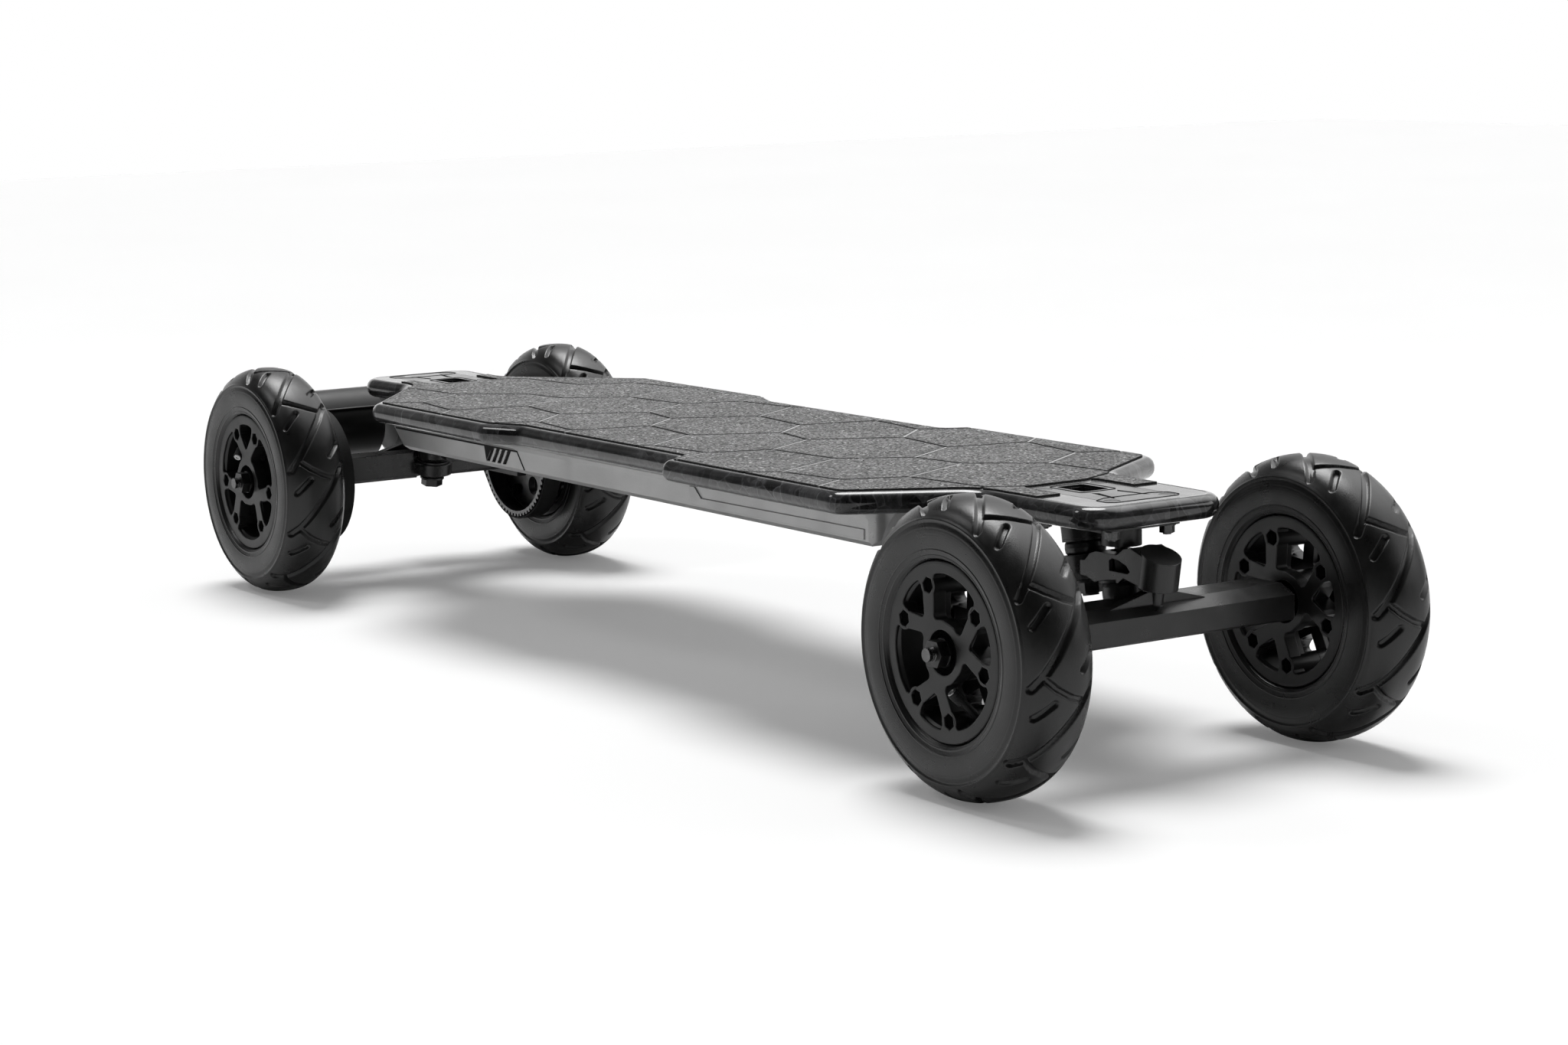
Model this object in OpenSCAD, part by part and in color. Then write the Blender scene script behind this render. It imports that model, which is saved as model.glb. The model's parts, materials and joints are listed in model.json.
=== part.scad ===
// Electric longboard with pneumatic tyres and two belt drives.
// +X points to the nose, +Y to the rider's left, +Z up; the ground is z = 0.
// The origin is the centre of the board's own box, on the ground.

/* [Wheels] */
// Distance between the front and the rear axle
wheelbase = 904; // [860:2:960]
// Distance between the centre planes of the front tyres
front_track = 254.4; // [250:0.2:280]
// Distance between the centre planes of the rear tyres
rear_track = 260; // [256:0.2:290]
// Outside diameter of a tyre
tyre_d = 175; // [165:1:190]
// Width of a tyre
tyre_w = 51; // [50:0.5:56]
// Half width of a wheel hub, face to centre plane
hub_half = 22; // [22:0.5:24]
// Radius of the circle of rim bolts
rim_bolt_r = 39; // [38:0.25:39.5]
// Half the angle between the two rim bolts beside a large window
rim_bolt_half_angle = 35.8; // [32:0.2:38]
// Diameter of the rim bolts
rim_bolt_d = 5; // [4:0.5:5]
// Diameter of the axles, bore of the wheel bearings
axle_d = 10; // [8:0.5:10]
// Number of times the zigzag of the tread repeats round a tyre
tread_count = 10; // [8:1:12]

/* [Deck] */
// Height of the deck's top face over the ground
deck_top = 160; // [156:1:175]
// Thickness of the deck at its rails
deck_t = 14; // [13.5:0.5:16]
// Half width of the deck at the tail
tail_half = 49; // [46:1:54]
// Half width of the rear wings
rear_wing_half = 122; // [116:1:128]
// Half width of the waist
waist_half = 109; // [105:1:112]
// Half width of the front wings
front_wing_half = 125; // [118:1:130]
// Half width of the nose
nose_half = 53; // [50:1:56]
// Rounding radius of the rails
rail_r = 6.5; // [4:0.5:6.5]
// Thickness of the grip sheet
grip_t = 1; // [0.6:0.1:1.5]
// Length of one side of a grip tile
grip_side = 54; // [44:1:64]
// Gap between two grip tiles
grip_gap = 2.2; // [1.5:0.1:4]

/* [Enclosure] */
// Depth of the covers below the deck
cover_depth = 25; // [24:0.5:28]
// Half width of the covers at their side panels
cover_half = 86; // [85:0.5:88]
// Wall of the covers
cover_wall = 2.5; // [2:0.25:3]
// Diameter of a battery cell
cell_d = 21.2; // [18.5:0.1:21.5]
// Length of a battery cell
cell_len = 70; // [65:0.5:71]
// Number of cell columns along the board
cell_columns = 18; // [12:1:18]

/* [Trucks] */
// Distance between truck bolts along the board
bolt_dx = 63.5; // [60:0.5:66]
// Distance between truck bolts across the board
bolt_dy = 41.3; // [38:0.1:42]
// Diameter of the truck bolts
bolt_d = 5; // [4.5:0.25:5.5]
// Diameter of the kingpins
kingpin_d = 10; // [8:0.5:10]
// Lean of both kingpins from the vertical, in degrees
kingpin_lean = 10; // [6:1:12]
// Half length of the hanger bars
bar_half = 98; // [94:0.5:99]
// Depth of a hanger bar, front to back
bar_depth = 36; // [34:0.5:38]
// Largest lean at each of the two pivots of a truck, in degrees
pivot_range = 10; // [6:1:10]

/* [Drive] */
// Teeth of a wheel pulley
wheel_teeth = 64; // [60:4:68]
// Teeth of a motor pulley
motor_teeth = 16; // [15:1:18]
// Pitch of the belt teeth
belt_pitch = 5; // [4.8:0.1:5]
// Width of a belt
belt_w = 15; // [12:1:15]
// How far the motor axis lies outboard of the axle
motor_out = 70; // [68:0.5:76]
// How far the motor axis lies above the axle
motor_up = 28.5; // [24:0.5:30]
// Outside diameter of a motor can
can_d = 54; // [50:0.5:55]
// Diameter of a motor shaft
shaft_d = 8; // [6:0.5:8]

/* [Hidden] */

$fn = 64;
eps = 0.01;

// Clearances
slip = 0.05;      // pieces of one body that slide into each other
run_gap = 0.06;   // shaft turning in a sleeve
seat_gap = 0.3;   // curved or moving faces that must not touch

// Main places
axle_z = tyre_d / 2;
cover_r = can_d / 2 + 2.2;              // outside radius of a motor cover
mid_x = (motor_out + cover_r - axle_z) / 2;
front_x = mid_x + wheelbase / 2;
rear_x = mid_x - wheelbase / 2;
deck_under = deck_top - deck_t;
deck_w = deck_top - axle_z;             // deck top over the axle
tail_x = -wheelbase / 2 - 10;           // tail end, from the middle of the wheelbase
nose_x = wheelbase / 2 + 15;

// Wheel sizes
flange_r = 52;
barrel_r = 47;
barrel_wall = 3.5;
flange_t = 2;
bearing_r = 13;
bearing_w = 8;
bearing_out = hub_half - 2;             // outer face of a bearing from the centre plane
race_r = axle_d / 2 + 2.3;              // outside of a bearing's inner ring
hub_r = bearing_r + 4.5;
boss_r = 6.5;
side_r = 66;                            // radius at which a tyre is widest
hex_d_rim = rim_bolt_d * 1.85;          // over the corners of a rim bolt's head
valve_angle = 20;                       // from the middle of a large window

// Wheel order: front left, front right, rear left, rear right
WHEEL_X = [front_x, front_x, rear_x, rear_x];
WHEEL_SIDE = [1, -1, 1, -1];
WHEEL_Y = [front_track / 2, front_track / 2, rear_track / 2, rear_track / 2];
WHEEL_PHASE = [69.9, -46.2, 31.3, 148.7];

// Truck places, from the axle centre: outboard, up
base_t = 5;
base_sink = 2;                          // how deep the base plates sit in the deck
base_top = deck_under - axle_z + base_sink;
base_low = base_top - base_t;
bolt_u = -39;                           // centre of the truck bolt pattern
hole_u = -60;                           // centre of the kingpin access hole
access_dx = 26;
access_dy = 20;
collar_at = [-56, 28];                  // link collar on the base kingpin
base_ball_at = [-24, 47];
ring_at = [-20, 0.5];                   // hanger ring on the link kingpin
link_ball_at = [9.5, 27.5];
ball_r = 5.5;
cup_r = 8.5;
cup_roof = 1.5;                         // of the base plate over its cup
link_cup_h = 9.5;                       // depth of the link's cup over the ball
bushing_r = 12.5;
kingpin_r = kingpin_d / 2;
bore_play = 2;                          // round a kingpin, so that the collar can tilt
washer_t = 1.5;
collar_r = 13.5;
collar_half = 5.5;
ring_r = 15.5;
ring_half = 4.5;
base_bushing_h = 8;
link_bushing_h = 15;
low_bushing_h = 4.5;
nut_h = 6.5;
kingpin_hex = kingpin_r * 1.68;         // corner radius of a kingpin's nut and head
link_half = 12;
bar_top = 13;
bar_low = -8;

// Drive sizes
wheel_pitch_r = wheel_teeth * belt_pitch / PI / 2;
motor_pitch_r = motor_teeth * belt_pitch / PI / 2;
tip_drop = 0.57;                        // from the pitch line to the tooth tips
tooth_depth = 2.06;
belt_in = 0.35;                         // belt over the tooth tips
belt_back_t = 1.6;
belt_tooth_h = 1.5;
pulley_y = rear_track / 2 - 45.7;       // inner face of a wheel pulley
pulley_w = belt_w + 2;
pulley_floor = 6;                       // thickness of a wheel pulley's bolted floor
mount_t = 8;
mount_y = pulley_y - 2.3 - mount_t;     // inner face of a motor mount
motor_gap = 13;                         // between the two motors
can_wall = 2;
motor_at = [motor_out, motor_up];

// Enclosure sizes
cover_low = deck_under - cover_depth;
lip_low = deck_under - 7;               // under the lip band
lip_half = cover_half + 6;
gasket_t = 1;
cover_back = tail_x + 126;              // back end at the lip, from the middle
cover_front = wheelbase / 2 - 152;
seam_x = -127;                          // between the two covers, at the bottom
seam_gap = 0.4;
bay_half = cover_half - 12;
bay_up = 7;                             // how far the bay goes up into the deck
board_t = 1.6;
screw_x = [-300, -215, -60, 30, 120, 210, 285];

// Frames

module at_mid() {
  translate([mid_x, 0, 0]) children();
}

module at_front() {
  translate([front_x, 0, axle_z]) children();
}

module at_rear() {
  translate([rear_x, 0, axle_z]) mirror([1, 0, 0]) children();
}

// Puts a wheel part, built round +Z with its outer face up, at wheel i
module at_wheel(i) {
  translate([WHEEL_X[i], WHEEL_SIDE[i] * WHEEL_Y[i], axle_z])
    mirror([0, WHEEL_SIDE[i] < 0 ? 1 : 0, 0])
    rotate([0, -WHEEL_PHASE[i], 0])
    rotate([-90, 0, 0]) children();
}

// Stands children on a tilted axis through the point p of a truck
module on_axis(p, lean) {
  translate([p[0], 0, p[1]]) rotate([0, lean, 0]) children();
}

// Extrudes a drawing in outboard and up, by half the width to each side
module across(half) {
  translate([0, half, 0]) rotate([90, 0, 0]) linear_extrude(2 * half) children();
}

// Both sides of the board
module both_sides() {
  children();
  mirror([0, 1, 0]) children();
}

module tube_ring(r_out, r_in, h) {
  difference() {
    cylinder(r = r_out, h = h);
    translate([0, 0, -1]) cylinder(r = r_in, h = h + 2);
  }
}

module hex_prism(corner_r, h) {
  cylinder(r = corner_r, h = h, $fn = 6);
}

// Outlines

function unit(v) = v / norm(v);

// Points of the arc that rounds the corner b between a and c
function corner(a, b, c, r, n) =
  let (
    p = unit(a - b), q = unit(c - b),
    half = acos(p * q) / 2,
    back = r / tan(half),
    m = b + unit(p + q) * r / sin(half),
    s = b + p * back - m,
    turn = (180 - 2 * half) * (cross(b - a, c - b) > 0 ? 1 : -1)
  )
  [for (i = [0:n]) let (t = turn * i / n)
    m + [s[0] * cos(t) - s[1] * sin(t), s[0] * sin(t) + s[1] * cos(t)]];

// Rounds every inner corner of an open path of [x, y, radius]
function rounded(path, n) = [
  for (i = [1:len(path) - 2])
    let (a = path[i - 1], b = path[i], c = path[i + 1])
    each corner([a[0], a[1]], [b[0], b[1]], [c[0], c[1]], b[2], n)
];

// The left half of the deck from tail to nose: x, half width, radius
deck_path = [
  [tail_x, 0, 0],
  [tail_x, tail_half, 20],
  [tail_x + 76, tail_half - 4, 30],
  [-294, rear_wing_half, 15],
  [-128, rear_wing_half, 14],
  [-97, waist_half, 24],
  [108, waist_half, 5],
  [117, front_wing_half, 8],
  [312, front_wing_half, 16],
  [357, nose_half + 1, 22],
  [nose_x, nose_half - 1, 20],
  [nose_x, 0, 0]
];

half_outline = rounded(deck_path, 5);
outline = concat(half_outline, [for (i = [len(half_outline) - 1:-1:0]) [half_outline[i][0], -half_outline[i][1]]]);

// The outline drawn in by d, along the normal at each point
function drawn_in(pts, d) = [
  for (i = [0:len(pts) - 1])
    let (
      n = len(pts), a = pts[(i + n - 1) % n], b = pts[i], c = pts[(i + 1) % n],
      u = unit(b - a), v = unit(c - b), s = unit(u + v), k = d / max(0.5, s * u)
    )
    b + [s[1], -s[0]] * k
];

// Inset and height of the rail's rounding, bottom to top
rail_steps = 3;
function rail_ring(i) =
  i <= rail_steps
    ? let (t = 90 * i / rail_steps) [rail_r * (1 - sin(t)), deck_under + rail_r * (1 - cos(t))]
    : let (t = 90 * (i - rail_steps - 1) / rail_steps) [rail_r * (1 - cos(t)), deck_top - rail_r * (1 - sin(t))];

// Deck without its cuts; it stands 1 mm out of both faces, where slab() trims it
module deck_blank() {
  levels = concat(
    [[rail_r, deck_under - 1]],
    [for (i = [0:2 * rail_steps + 1]) rail_ring(i)],
    [[rail_r, deck_top + 1]]
  );
  rings = [for (q = levels) [for (p = drawn_in(outline, q[0])) [p[0], p[1], q[1]]]];
  n = len(outline);
  last = len(rings) - 1;
  polyhedron(
    points = [for (ring = rings) each ring],
    faces = concat(
      [[for (i = [0:n - 1]) i]],
      [for (k = [0:last - 1], i = [0:n - 1]) let (j = (i + 1) % n)
        [k * n + i, (k + 1) * n + i, (k + 1) * n + j, k * n + j]],
      [[for (i = [n - 1:-1:0]) last * n + i]]
    )
  );
}

module slab() {
  translate([0, 0, deck_under]) linear_extrude(deck_t) square([2 * wheelbase, 4 * front_wing_half], center = true);
}

module rounded_plate(dx, dy, r) {
  union() {
    square([dx, dy - 2 * r], center = true);
    square([dx - 2 * r, dy], center = true);
    for (sx = [-1, 1], sy = [-1, 1])
      translate([sx * (dx / 2 - r), sy * (dy / 2 - r)]) circle(r);
  }
}

bolt_head_r = bolt_d * 0.92;
bolt_head_h = 2.6;
bolt_sunk = 0.1;

// Countersink of a truck bolt, with clearance
module bolt_sink() {
  translate([0, 0, deck_w - bolt_sunk - bolt_head_h]) cylinder(r1 = bolt_d / 2 + 0.3, r2 = bolt_head_r + 0.3, h = bolt_head_h);
  translate([0, 0, deck_w - bolt_sunk - eps]) cylinder(r = bolt_head_r + 0.3, h = 3);
}

module bolt_places() {
  for (sx = [-1, 1], sy = [-1, 1])
    translate([bolt_u + sx * bolt_dx / 2, sy * bolt_dy / 2, 0]) children();
}

// Deck and what lies on it

plate_dx = bolt_dx + 18;
plate_dy = bolt_dy + 9;
plate_t = 1.6;
plate_gap = 0.3;

// What each truck cuts from the deck, in truck coordinates
module truck_cut() {
  bolt_places() {
    translate([0, 0, base_low]) cylinder(d = bolt_d + 0.5, h = deck_w - base_low + 5);
    bolt_sink();
  }
  translate([bolt_u, 0, base_top - base_sink - 5]) linear_extrude(base_sink + 5)
    rounded_plate(bolt_dx + 15.6, bolt_dy + 15.6, 7.8);
  translate([bolt_u - 1, 0, deck_w - plate_t]) linear_extrude(plate_t + 5)
    rounded_plate(plate_dx + 2 * plate_gap, plate_dy + 2 * plate_gap, 5);
  translate([hole_u, 0, base_low]) linear_extrude(deck_w) rounded_plate(access_dx, access_dy, 2.5);
}

module deck() {
  color("#26272a")
  difference() {
    intersection() {
      at_mid() deck_blank();
      slab();
    }
    at_front() truck_cut();
    at_rear() truck_cut();
    at_mid() bay_block(bay_up);
    at_mid() for (x = screw_x) both_sides()
      translate([x, screw_half, deck_under - 1]) cylinder(r = 1.6, h = 9);
  }
}

// The hollow for battery and electronics in the deck's underside
module bay_block(up) {
  translate([(cover_back + cover_front) / 2, 0, deck_under - 5]) linear_extrude(up + 5)
    rounded_plate(cover_front - cover_back - 44, 2 * bay_half, 10);
}

// Grip tiles: a hexagon grid with unevenly moved corners
function grid_point(i, j) =
  let (x = 1.5 * grip_side * i, y = sqrt(3) * grip_side * (j + (i % 2 == 0 ? 0 : 0.5)))
  [x, y];
function moved(p) = p + [7 * sin(p[0] * 2.3 + p[1] * 1.1), 7 * sin(p[0] * 1.7 - p[1] * 2.9)];
function tile_corners(c) = [for (k = [0:5]) moved(c + grip_side * [cos(60 * k), sin(60 * k)])];
function tile(c) =
  let (
    q = tile_corners(c),
    m = (q[0] + q[1] + q[2] + q[3] + q[4] + q[5]) / 6,
    s = 1 - grip_gap / (sqrt(3) * grip_side)
  )
  [for (p = q) m + (p - m) * s];

grip_in = 7.5;

module grip() {
  color("#3a3b3d")
  at_mid() difference() {
    intersection() {
      translate([0, 0, deck_top]) linear_extrude(grip_t) polygon(drawn_in(outline, grip_in));
      translate([0, 0, deck_top - 1]) linear_extrude(grip_t + 2)
        for (i = [-5:5], j = [-2:2]) polygon(tile(grid_point(i, j)));
      translate([0, 0, deck_top - 2]) linear_extrude(grip_t + 4)
        square([2 * (wheelbase / 2 - 46), 2 * front_wing_half], center = true);
    }
    for (s = [-1, 1]) translate([s * (wheelbase / 2 + bolt_u - 1), 0, deck_top - 3])
      linear_extrude(8) rounded_plate(plate_dx + 6, plate_dy + 6, 6);
  }
}

// Inlaid plate that the four truck bolts go through
module inlay() {
  difference() {
    translate([bolt_u - 1, 0, deck_w - plate_t]) linear_extrude(plate_t) rounded_plate(plate_dx, plate_dy, 4.7);
    bolt_places() translate([0, 0, deck_w - 4]) cylinder(d = bolt_d + 0.5, h = 9);
    bolt_places() bolt_sink();
    translate([hole_u, 0, deck_w - 9]) linear_extrude(12) rounded_plate(access_dx, access_dy, 2.5);
    for (s = [-1, 1]) translate([bolt_u + 7, s * 6, deck_w - 0.7]) linear_extrude(2)
      polygon([[-8, 4 * s], [18, 8 * s], [16, 5 * s], [-4, 1 * s]]);
  }
}

module nose_plate() {
  color("#2d2e31") at_front() inlay();
}

module tail_plate() {
  color("#2d2e31") at_rear() inlay();
}

// Covers

screw_half = cover_half - 6.5;

// Prism with the side view of the covers, drawn in by d
module cover_side(d) {
  rotate([90, 0, 0]) linear_extrude(2 * lip_half, center = true)
    polygon([
      [cover_back + d, deck_under + 1 + 10 * sign(d)],
      [cover_back + d, deck_under - 2],
      [cover_back + 22 + d, cover_low + 3 + d * 0.4],
      [cover_back + 27 + d, cover_low + d],
      [cover_front - 8 - d, cover_low + d],
      [cover_front - 3 - d, cover_low + 4 + d * 0.4],
      [cover_front - d, deck_under - 4],
      [cover_front - d, deck_under + 1 + 10 * sign(d)]
    ]);
}

// Prism with the end view of the covers, drawn in by d
module cover_end(d) {
  half = cover_half - d;
  top = lip_half - d;
  rotate([90, 0, 90]) linear_extrude(3 * wheelbase, center = true)
    polygon([
      [-top, deck_under + 20 * sign(d)], [-top, deck_under - 2], [-half - 1.5, lip_low + 1.5], [-half, lip_low - 2],
      [-half, cover_low + 3 + d * 0.4], [-half + 3 - d * 0.6, cover_low + d],
      [half - 3 + d * 0.6, cover_low + d], [half, cover_low + 3 + d * 0.4],
      [half, lip_low - 2], [half + 1.5, lip_low + 1.5], [top, deck_under - 2], [top, deck_under + 20 * sign(d)]
    ]);
}

module cover_form(d) {
  intersection() {
    cover_side(d);
    cover_end(d);
    translate([(cover_back + cover_front) / 2, 0, cover_low - 5]) linear_extrude(cover_depth + 40)
      rounded_plate(cover_front - cover_back - 2 * d, 2 * lip_half - 2 * d, 24);
  }
}

// Shell of both covers, open at the top, with screw posts
module cover_shell() {
  difference() {
    union() {
      difference() {
        cover_form(0);
        cover_form(cover_wall);
      }
      intersection() {
        for (x = screw_x) both_sides()
          translate([x, screw_half, cover_low]) cylinder(r = 4.5, h = cover_depth);
        cover_form(0);
      }
    }
    translate([0, 0, deck_under - gasket_t]) linear_extrude(30) square([3 * wheelbase, 4 * lip_half], center = true);
    for (x = screw_x) both_sides() {
      translate([x, screw_half, cover_low - 1]) cylinder(r = 1.7, h = cover_depth + 2);
      translate([x, screw_half, cover_low - 1]) cylinder(r = 3.4, h = 4.2);
    }
  }
}

// Space of the rear cover; its front edge slopes down to the seam
module rear_space(gap) {
  rotate([90, 0, 0]) linear_extrude(4 * lip_half, center = true)
    polygon([
      [cover_back - 20, cover_low - 20],
      [seam_x - gap, cover_low - 20],
      [seam_x - gap, cover_low],
      [seam_x - 12 - gap, lip_low - 3 - gap],
      [seam_x - 18 - gap, lip_low - 1 - gap],
      [cover_back - 20, lip_low - 1 - gap]
    ]);
}

vent_x = -168;
vent_pitch = 8;

module battery_cover() {
  color("#3c3d40")
  at_mid() {
    difference() {
      cover_shell();
      rear_space(0);
      // groove between lip and deck
      both_sides() translate([0, lip_half - 1, deck_under - 3.4])
        rotate([0, 90, 0]) linear_extrude(3 * wheelbase, center = true) square([1.8, 3], center = true);
    }
    // raised lower panel of the side
    both_sides() translate([0, -cover_half, 0]) rotate([90, 0, 0]) linear_extrude(0.7)
      polygon([
        [96, lip_low - 2.3], [104, cover_low + 9], [cover_front - 12, cover_low + 10.5],
        [cover_front - 12, cover_low + 4], [92, cover_low + 4], [90, lip_low - 2.3]
      ]);
  }
}

port_at = [-272, 61];
button_at = [-240, 61];
port_r = 7;
button_r = 6;
button_out = 0.9;
button_flange_t = 1.5;
button_travel = 0.6;
switch_low = cover_low + cover_wall + 0.1 + button_flange_t + button_travel + seat_gap;

module rear_cover() {
  color("#3c3d40")
  at_mid() difference() {
    intersection() {
      cover_shell();
      rear_space(seam_gap);
    }
    // slanted vents in both sides
    for (k = [-1.5:1.5]) translate([vent_x + k * vent_pitch, 0, cover_low + 4.5])
      rotate([90, 0, 0]) linear_extrude(4 * lip_half, center = true)
        polygon([[-5.5, 0], [-0.5, 0], [5.5, 8], [0.5, 8]]);
    translate([port_at[0], port_at[1], cover_low - 1]) cylinder(r = port_r + slip, h = cover_wall + 2);
    translate([button_at[0], button_at[1], cover_low - 1]) cylinder(r = button_r + run_gap, h = cover_wall + 2);
    // window for the heat sink
    translate([sink_x, 0, cover_low - 1]) linear_extrude(cover_wall + 3) rounded_plate(sink_dx - 10, sink_dy - 10, 3);
  }
}

module gasket() {
  color("#151515")
  at_mid() difference() {
    intersection() {
      cover_form(0);
      translate([0, 0, deck_under - gasket_t]) linear_extrude(gasket_t) square([3 * wheelbase, 4 * lip_half], center = true);
    }
    bay_block(20);
    for (x = screw_x) both_sides()
      translate([x, screw_half, deck_under - 5]) cylinder(r = 1.9, h = 10);
  }
}

module cover_screws() {
  color("#6d6f73")
  at_mid() for (x = screw_x) both_sides() translate([x, screw_half, cover_low + 0.6]) {
    cylinder(r = 3.2, h = 2.6);
    cylinder(r = 1.5, h = cover_depth + 6);
  }
}

// Battery and electronics

floor_z = cover_low + cover_wall;
cell_z = floor_z + seat_gap + cell_d / 2;
cell_x0 = seam_x + 14;
cell_step = cell_d + 0.3;

module battery_cells() {
  color("#3b7fb0")
  at_mid() for (i = [0:cell_columns - 1], s = [-1, 1])
    translate([cell_x0 + cell_step * (i + 0.5), s * (cell_len / 2 + 1), cell_z])
      rotate([90, 0, 0]) {
        cylinder(d = cell_d, h = cell_len - 1, center = true, $fn = 32);
        translate([0, 0, cell_len / 2 - 0.5]) cylinder(r = 3.2, h = 0.5, $fn = 32);
      }
}

monitor_x = 30;

module battery_monitor() {
  color("#2f6b3a")
  at_mid() translate([monitor_x, 0, cell_z + cell_d / 2 + seat_gap]) {
    translate([-60, -40, 0]) cube([120, 80, board_t]);
    for (x = [-45:30:45]) translate([x - 6, -30, board_t]) cube([12, 9, 2]);
    for (y = [-10:12:26]) translate([-50, y, board_t]) cube([100, 5, 1.2]);
  }
}

sink_x = -236;
sink_dx = 110;
sink_dy = 88;

module heat_sink() {
  color("#a9adb2")
  at_mid() translate([sink_x, 0, 0]) {
    // plate on the cover's floor, and a raised pad that shows in its window
    translate([-sink_dx / 2, -sink_dy / 2, floor_z]) cube([sink_dx, sink_dy, 2.5]);
    difference() {
      translate([0, 0, cover_low]) linear_extrude(cover_wall) rounded_plate(sink_dx - 10.4, sink_dy - 10.4, 3);
      for (y = [-30:6:30]) translate([-sink_dx / 2 + 12, y - 1.5, cover_low - 1])
        cube([sink_dx - 24, 3, 2.6]);
    }
  }
}

module motor_controller() {
  color("#24603a")
  at_mid() translate([sink_x, 0, floor_z + 2.5]) {
    // power transistors on the heat sink carry the board
    for (x = [-42:14:42], s = [-1, 1]) translate([x - 4.5, s * 30 - 5, 0]) cube([9, 10, 4]);
    translate([-52, -42, 4]) cube([104, 84, board_t]);
    for (x = [-36:18:36]) translate([x, 0, 4 + board_t]) cylinder(r = 6, h = 11);
    // tab of the board with the switch over the power button
    translate([button_at[0] - sink_x - 7, 30, 4]) cube([14, button_at[1] - 22, board_t]);
    translate([button_at[0] - sink_x - 5, button_at[1] - 5, 1]) cube([10, 10, 4]);
    translate([button_at[0] - sink_x, button_at[1], switch_low - floor_z - 2.5]) cylinder(r = 2, h = 4);
  }
}

module charge_port() {
  color("#1c1c1e")
  at_mid() translate([port_at[0], port_at[1], cover_low]) difference() {
    union() {
      cylinder(r = port_r, h = 14);
      translate([0, 0, -1.2]) cylinder(r = port_r + 2, h = 1.2);
      translate([0, 0, cover_wall]) cylinder(r = port_r + 2, h = 2.5);
    }
    translate([0, 0, -3]) cylinder(r = port_r - 2, h = 14);
  }
}

module power_button() {
  color("#c9cbce")
  at_mid() translate([button_at[0], button_at[1], floor_z + 0.1]) {
    translate([0, 0, -cover_wall - 0.1 - button_out]) cylinder(r = button_r, h = cover_wall + 0.1 + button_out);
    cylinder(r = button_r + 1.5, h = button_flange_t);
  }
}

// Trucks

// Countersunk bolt, washer and nut in one of the eight holes
module truck_bolt() {
  low = base_low - 1;
  cylinder_top = deck_w - bolt_sunk;
  translate([0, 0, low - 5.5]) cylinder(d = bolt_d, h = cylinder_top - low + 5.5);
  translate([0, 0, cylinder_top - bolt_head_h]) cylinder(r1 = bolt_d / 2, r2 = bolt_head_r, h = bolt_head_h);
  difference() {
    translate([0, 0, low]) cylinder(d = bolt_d * 2.1, h = 1);
    translate([0, 0, low - 1]) cylinder(d = bolt_d - 0.2, h = 3);
  }
  translate([0, 0, low - 4.5]) hex_prism(bolt_d * 0.92, 4.5);
}

module truck_bolts() {
  color("#5a5c60") {
    at_front() bolt_places() truck_bolt();
    at_rear() bolt_places() truck_bolt();
  }
}

module base_plate() {
  difference() {
    union() {
      translate([bolt_u, 0, base_low]) linear_extrude(base_t) rounded_plate(bolt_dx + 15, bolt_dy + 15, 7.5);
      intersection() {
        on_axis(collar_at, -kingpin_lean) translate([0, 0, base_stack_top]) cylinder(r = collar_r, h = 40);
        translate([-150, -50, 0]) cube([200, 100, base_low + 1]);
      }
      translate([base_ball_at[0], 0, base_ball_at[1] - 4]) cylinder(r = cup_r + 3.5, h = base_top - base_ball_at[1] + 3);
      // webs between the two bosses
      for (s = [-1, 1]) translate([0, s * 8 + 2, 0]) rotate([90, 0, 0]) linear_extrude(4)
        polygon([[-62, base_low + 1], [-57, base_low - 6], [-30, base_low - 6], [-24, base_low + 1]]);
    }
    bolt_places() translate([0, 0, base_low - 1]) cylinder(d = bolt_d + 0.4, h = base_t + 2);
    on_axis(collar_at, -kingpin_lean) cylinder(r = kingpin_r + slip, h = 60);
    translate([base_ball_at[0], 0, base_ball_at[1] - 5]) cylinder(r = cup_r + slip, h = base_top - cup_roof - base_ball_at[1] + 5);
    on_axis(collar_at, -kingpin_lean) translate([0, 0, base_stack_top - 30]) cylinder(r = collar_r + 1, h = 30);
  }
}

// Where the base plate's kingpin boss ends, along the kingpin from the collar
base_stack_top = collar_half + base_bushing_h + washer_t;

module front_base() {
  color("#2a2b2e") at_front() base_plate();
}

module rear_base() {
  color("#2a2b2e") at_rear() base_plate();
}

// Kingpin, nut and washers of a stack; the head is up or down
module base_kingpin() {
  on_axis(collar_at, -kingpin_lean) {
    low = -collar_half - low_bushing_h - washer_t;
    head = (base_top - collar_at[1]) / cos(kingpin_lean) + kingpin_hex * tan(kingpin_lean) + 0.2;
    translate([0, 0, low - nut_h - 1.5]) cylinder(r = kingpin_r, h = head - low + nut_h + 3);
    translate([0, 0, head]) hex_prism(kingpin_hex, 5.5);
    translate([0, 0, low - nut_h]) hex_prism(kingpin_hex, nut_h);
    translate([0, 0, low]) tube_ring(bushing_r - 2.5, kingpin_r - eps, washer_t);
    translate([0, 0, base_stack_top - washer_t]) tube_ring(bushing_r + 1, kingpin_r - eps, washer_t);
  }
}

module base_kingpins() {
  color("#77797d") {
    at_front() base_kingpin();
    at_rear() base_kingpin();
  }
}

// Barrel bushing: a ring with a slight belly
module barrel(r, h) {
  rotate_extrude() polygon([
    [kingpin_r + slip, 0], [r - 1.2, 0], [r - 0.3, h * 0.18], [r, h * 0.5],
    [r - 0.3, h * 0.82], [r - 1.2, h], [kingpin_r + slip, h]
  ]);
}

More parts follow.
